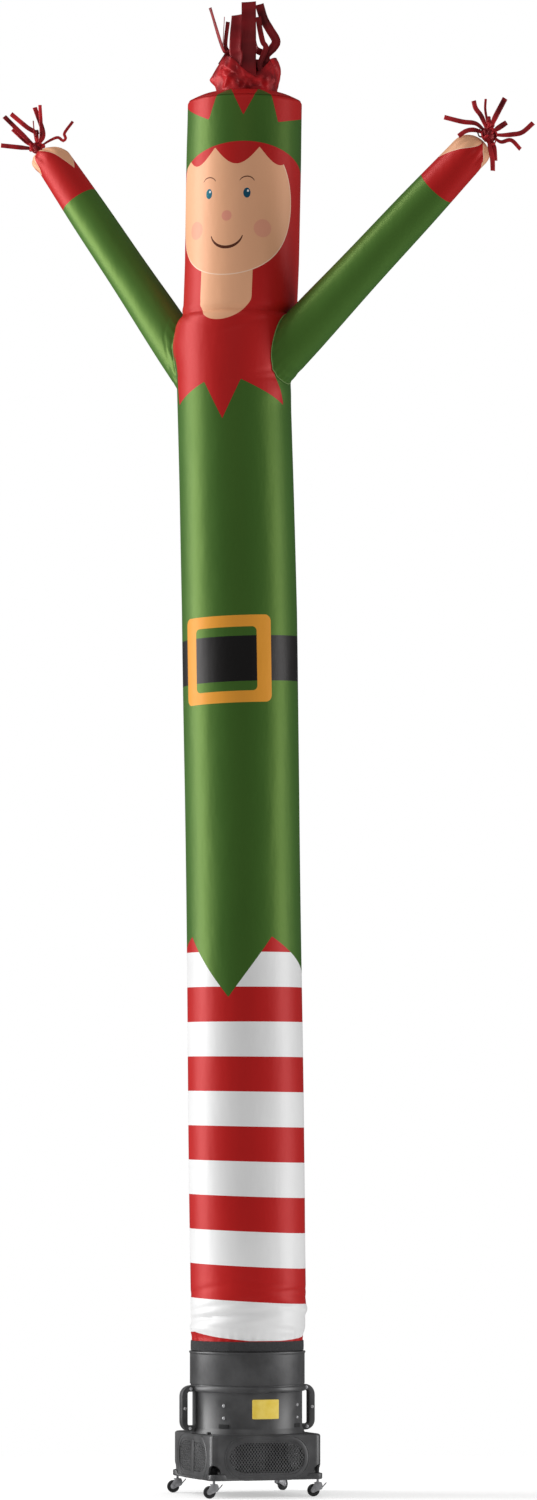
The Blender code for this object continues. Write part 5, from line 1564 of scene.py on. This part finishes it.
def motor_paint(name):
    finish = Finish(name, 0.5, metallic=0.5)
    finish.set("Base Color", finish.blend(finish.noise(finish.place(), 30.0, 4.0), 0.3, 0.7,
                                          (0.045, 0.045, 0.048), (0.090, 0.090, 0.095)))
    finish.bump(finish.noise(finish.place((1.0, 1.0, 6.0)), 140.0, 2.0), 0.00020)
    return finish.material


# ---- everything that is shown ---------------------------------------------------------------
def build_dancer():
    print_cloth = nylon("costume_nylon", costume)
    # each satin's second, dark colour is its painted shade
    lining = satin_cloth("lining_satin", (0.520, 0.015, 0.019), (0.150, 0.007, 0.010), (0.018, 5.0))
    streamer = satin_cloth("streamer_satin", (0.580, 0.024, 0.032), (0.090, 0.006, 0.009))
    tall = satin_cloth("crown_satin", (0.230, 0.010, 0.014), (0.060, 0.005, 0.007))
    tube = build_tube(print_cloth)
    cap = build_cap(print_cloth)
    # pale green: the arms' green lightened, a painted highlight along the seam
    seam_cloth_lit = seam_cord("arm_seam_lit_edge", (0.230, 0.400, 0.110))
    for side in ARMS:
        cloth = nylon("sleeve_nylon_" + side, sleeve_paint(side), weave=0.000015)
        build_arm(side, cloth, seam_cloth_lit)
    spout = build_spout(lining)
    crown, crown_ribbons = build_crown_ribbons(tall)
    strap = build_strap(webbing("strap_webbing"))

    for side in ARMS:
        piece, ribbons = build_hand_ribbons(side, streamer)
        "sleeve_" + side


def build_blower():
    plastic = moulded("housing_plastic", (0.060, 0.060, 0.062))
    # near black: dark plastic, and also painted shade for the slots and hole
    dark = moulded("dark_plastic_and_slot_shade", (0.008, 0.008, 0.009), 0.5)
    mesh_plastic = moulded("mesh_plastic", (0.095, 0.095, 0.097), 0.42)
    # its cavity is painted near black as painted shade
    box_plastic_cavity_shade = moulded("box_plastic_cavity_shade", (0.060, 0.060, 0.062), shaded_hollow=CAVITY_HALF)
    zinc = plated("zinc_plate", (0.90, 0.90, 0.92))
    caster = plated("caster_zinc", (0.56, 0.56, 0.58), 0.34)
    tyre = rubber("tyre_rubber")
    core = moulded("wheel_plastic", (0.060, 0.060, 0.062))
    build_collar(plastic)
    build_housing(box_plastic_cavity_shade)
    for side, (turn, with_rib) in GRILLE_SIDES.items():
        build_grille(side, turn, with_rib, mesh_plastic, plastic)
    build_tray(plastic)
    build_handle("left", -1, plastic)
    build_handle("right", 1, plastic)
    build_bolts(zinc)
    build_label(bare_label("blank_label"))
    build_small_parts(dark)
    for name, (sx, sy, trail) in CORNERS.items():
        build_caster(name, sx, sy, trail, caster, tyre, core)
    motor = bpy.data.objects["fan_motor"]
    motor.data.materials.clear()
    motor.data.materials.append(motor_paint("motor_paint"))


# ---- floor, light, camera -------------------------------------------------------------------
AMBIENT = 0.45
DARK_ROOM = 0.12            # how much of the ambient light shows in reflections
FLOOR_RADIUS = 3.4
FLOOR_GLOW = 0.42

# Name, bearing, distance, height, (width, height), watts, height it points at.
LIGHTS = (
    ("key", -82.0, 9.0, 6.2, (5.0, 14.0), 1150.0, 6.2),
    ("right_strip", 97.0, 9.0, 2.6, (4.2, 7.5), 350.0, 2.6),
    ("front_top", 8.0, 8.0, 9.5, (4.0, 3.0), 60.0, 4.5),
)
CAMERA_TURN = 12.0
CAMERA_BACK = 25.4
CAMERA_SIDE = 0.0841
CAMERA_HEIGHT = 1.519
CAMERA_TILT = 3.228
CAMERA_LENS = 102.144       # mm, over a sensor 24 mm high


def build_floor():
    """Pale floor that fades into the white background."""
    bm = bmesh.new()
    bmesh.ops.create_circle(bm, cap_ends=True, segments=96, radius=FLOOR_RADIUS)
    mesh = bpy.data.meshes.new("studio_floor")
    bm.to_mesh(mesh)
    bm.free()
    floor = linked("studio_floor", mesh)
    floor.location = (0.0, 0.0, -0.0006)
    finish = Finish("studio_floor", 0.9)
    finish.set("Base Color", (0.80, 0.80, 0.80))
    finish.set("Specular IOR Level", 0.0)
    finish.set("Emission Color", (1.0, 1.0, 1.0))
    finish.set("Emission Strength", FLOOR_GLOW)
    reach = finish.nodes("VectorMath", finish.place(), operation="LENGTH")[1]
    finish.set("Alpha", finish.node("MapRange", reach, 0.35 * FLOOR_RADIUS, 0.96 * FLOOR_RADIUS,
                                    1.0, 0.0, interpolation_type="SMOOTHSTEP"))
    mesh.materials.append(finish.material)
    floor.visible_glossy = False


def build_world():
    """White to the camera, and the soft light of the room to everything else."""
    world = bpy.data.worlds.new("studio")
    bpy.context.scene.world = world
    world.use_nodes = True
    tree = world.node_tree
    back = tree.nodes["Background"]
    back.inputs["Color"].default_value = (1.0, 1.0, 1.0, 1.0)
    rays = tree.nodes.new("ShaderNodeLightPath").outputs
    strength = tree.nodes.new("ShaderNodeMath")
    strength.operation = "MULTIPLY"
    tree.links.new(strength.outputs[0], back.inputs["Strength"])
    for ray, elsewhere, there, socket in (("Is Camera Ray", AMBIENT, 1.0, strength.inputs[0]),
                                          ("Is Glossy Ray", 1.0, DARK_ROOM, strength.inputs[1])):
        level = tree.nodes.new("ShaderNodeMapRange")
        tree.links.new(rays[ray], level.inputs[0])
        level.inputs[3].default_value = elsewhere
        level.inputs[4].default_value = there
        tree.links.new(level.outputs[0], socket)


def area_light(name, bearing, distance, height, size, power, aim_height):
    light = bpy.data.lights.new(name, "AREA")
    light.shape = "RECTANGLE"
    light.size, light.size_y = size
    light.energy = power
    lamp = linked(name, light)
    out = heading(bearing) * distance
    lamp.location = (AXIS_X + out[0], AXIS_Y + out[1], height)
    aim = Vector((AXIS_X, AXIS_Y, aim_height)) - lamp.location
    lamp.rotation_euler = aim.to_track_quat("-Z", "Y").to_euler()


def build_camera():
    camera = bpy.data.cameras.new("camera")
    camera.sensor_fit = "VERTICAL"
    camera.sensor_height = 24.0
    camera.lens = CAMERA_LENS
    camera.clip_end = 200.0
    view = linked("camera", camera)
    turn = CAMERA_TURN * DEGREE
    view.location = (AXIS_X + math.sin(turn) * CAMERA_BACK + math.cos(turn) * CAMERA_SIDE,
                     AXIS_Y - math.cos(turn) * CAMERA_BACK + math.sin(turn) * CAMERA_SIDE,
                     CAMERA_HEIGHT)
    view.rotation_euler = ((90.0 + CAMERA_TILT) * DEGREE, 0.0, turn)
    bpy.context.scene.camera = view


bpy.context.scene.view_settings.view_transform = "Standard"
build_dancer()
build_blower()
build_floor()
build_world()
for row in LIGHTS:
    area_light(*row)
build_camera()
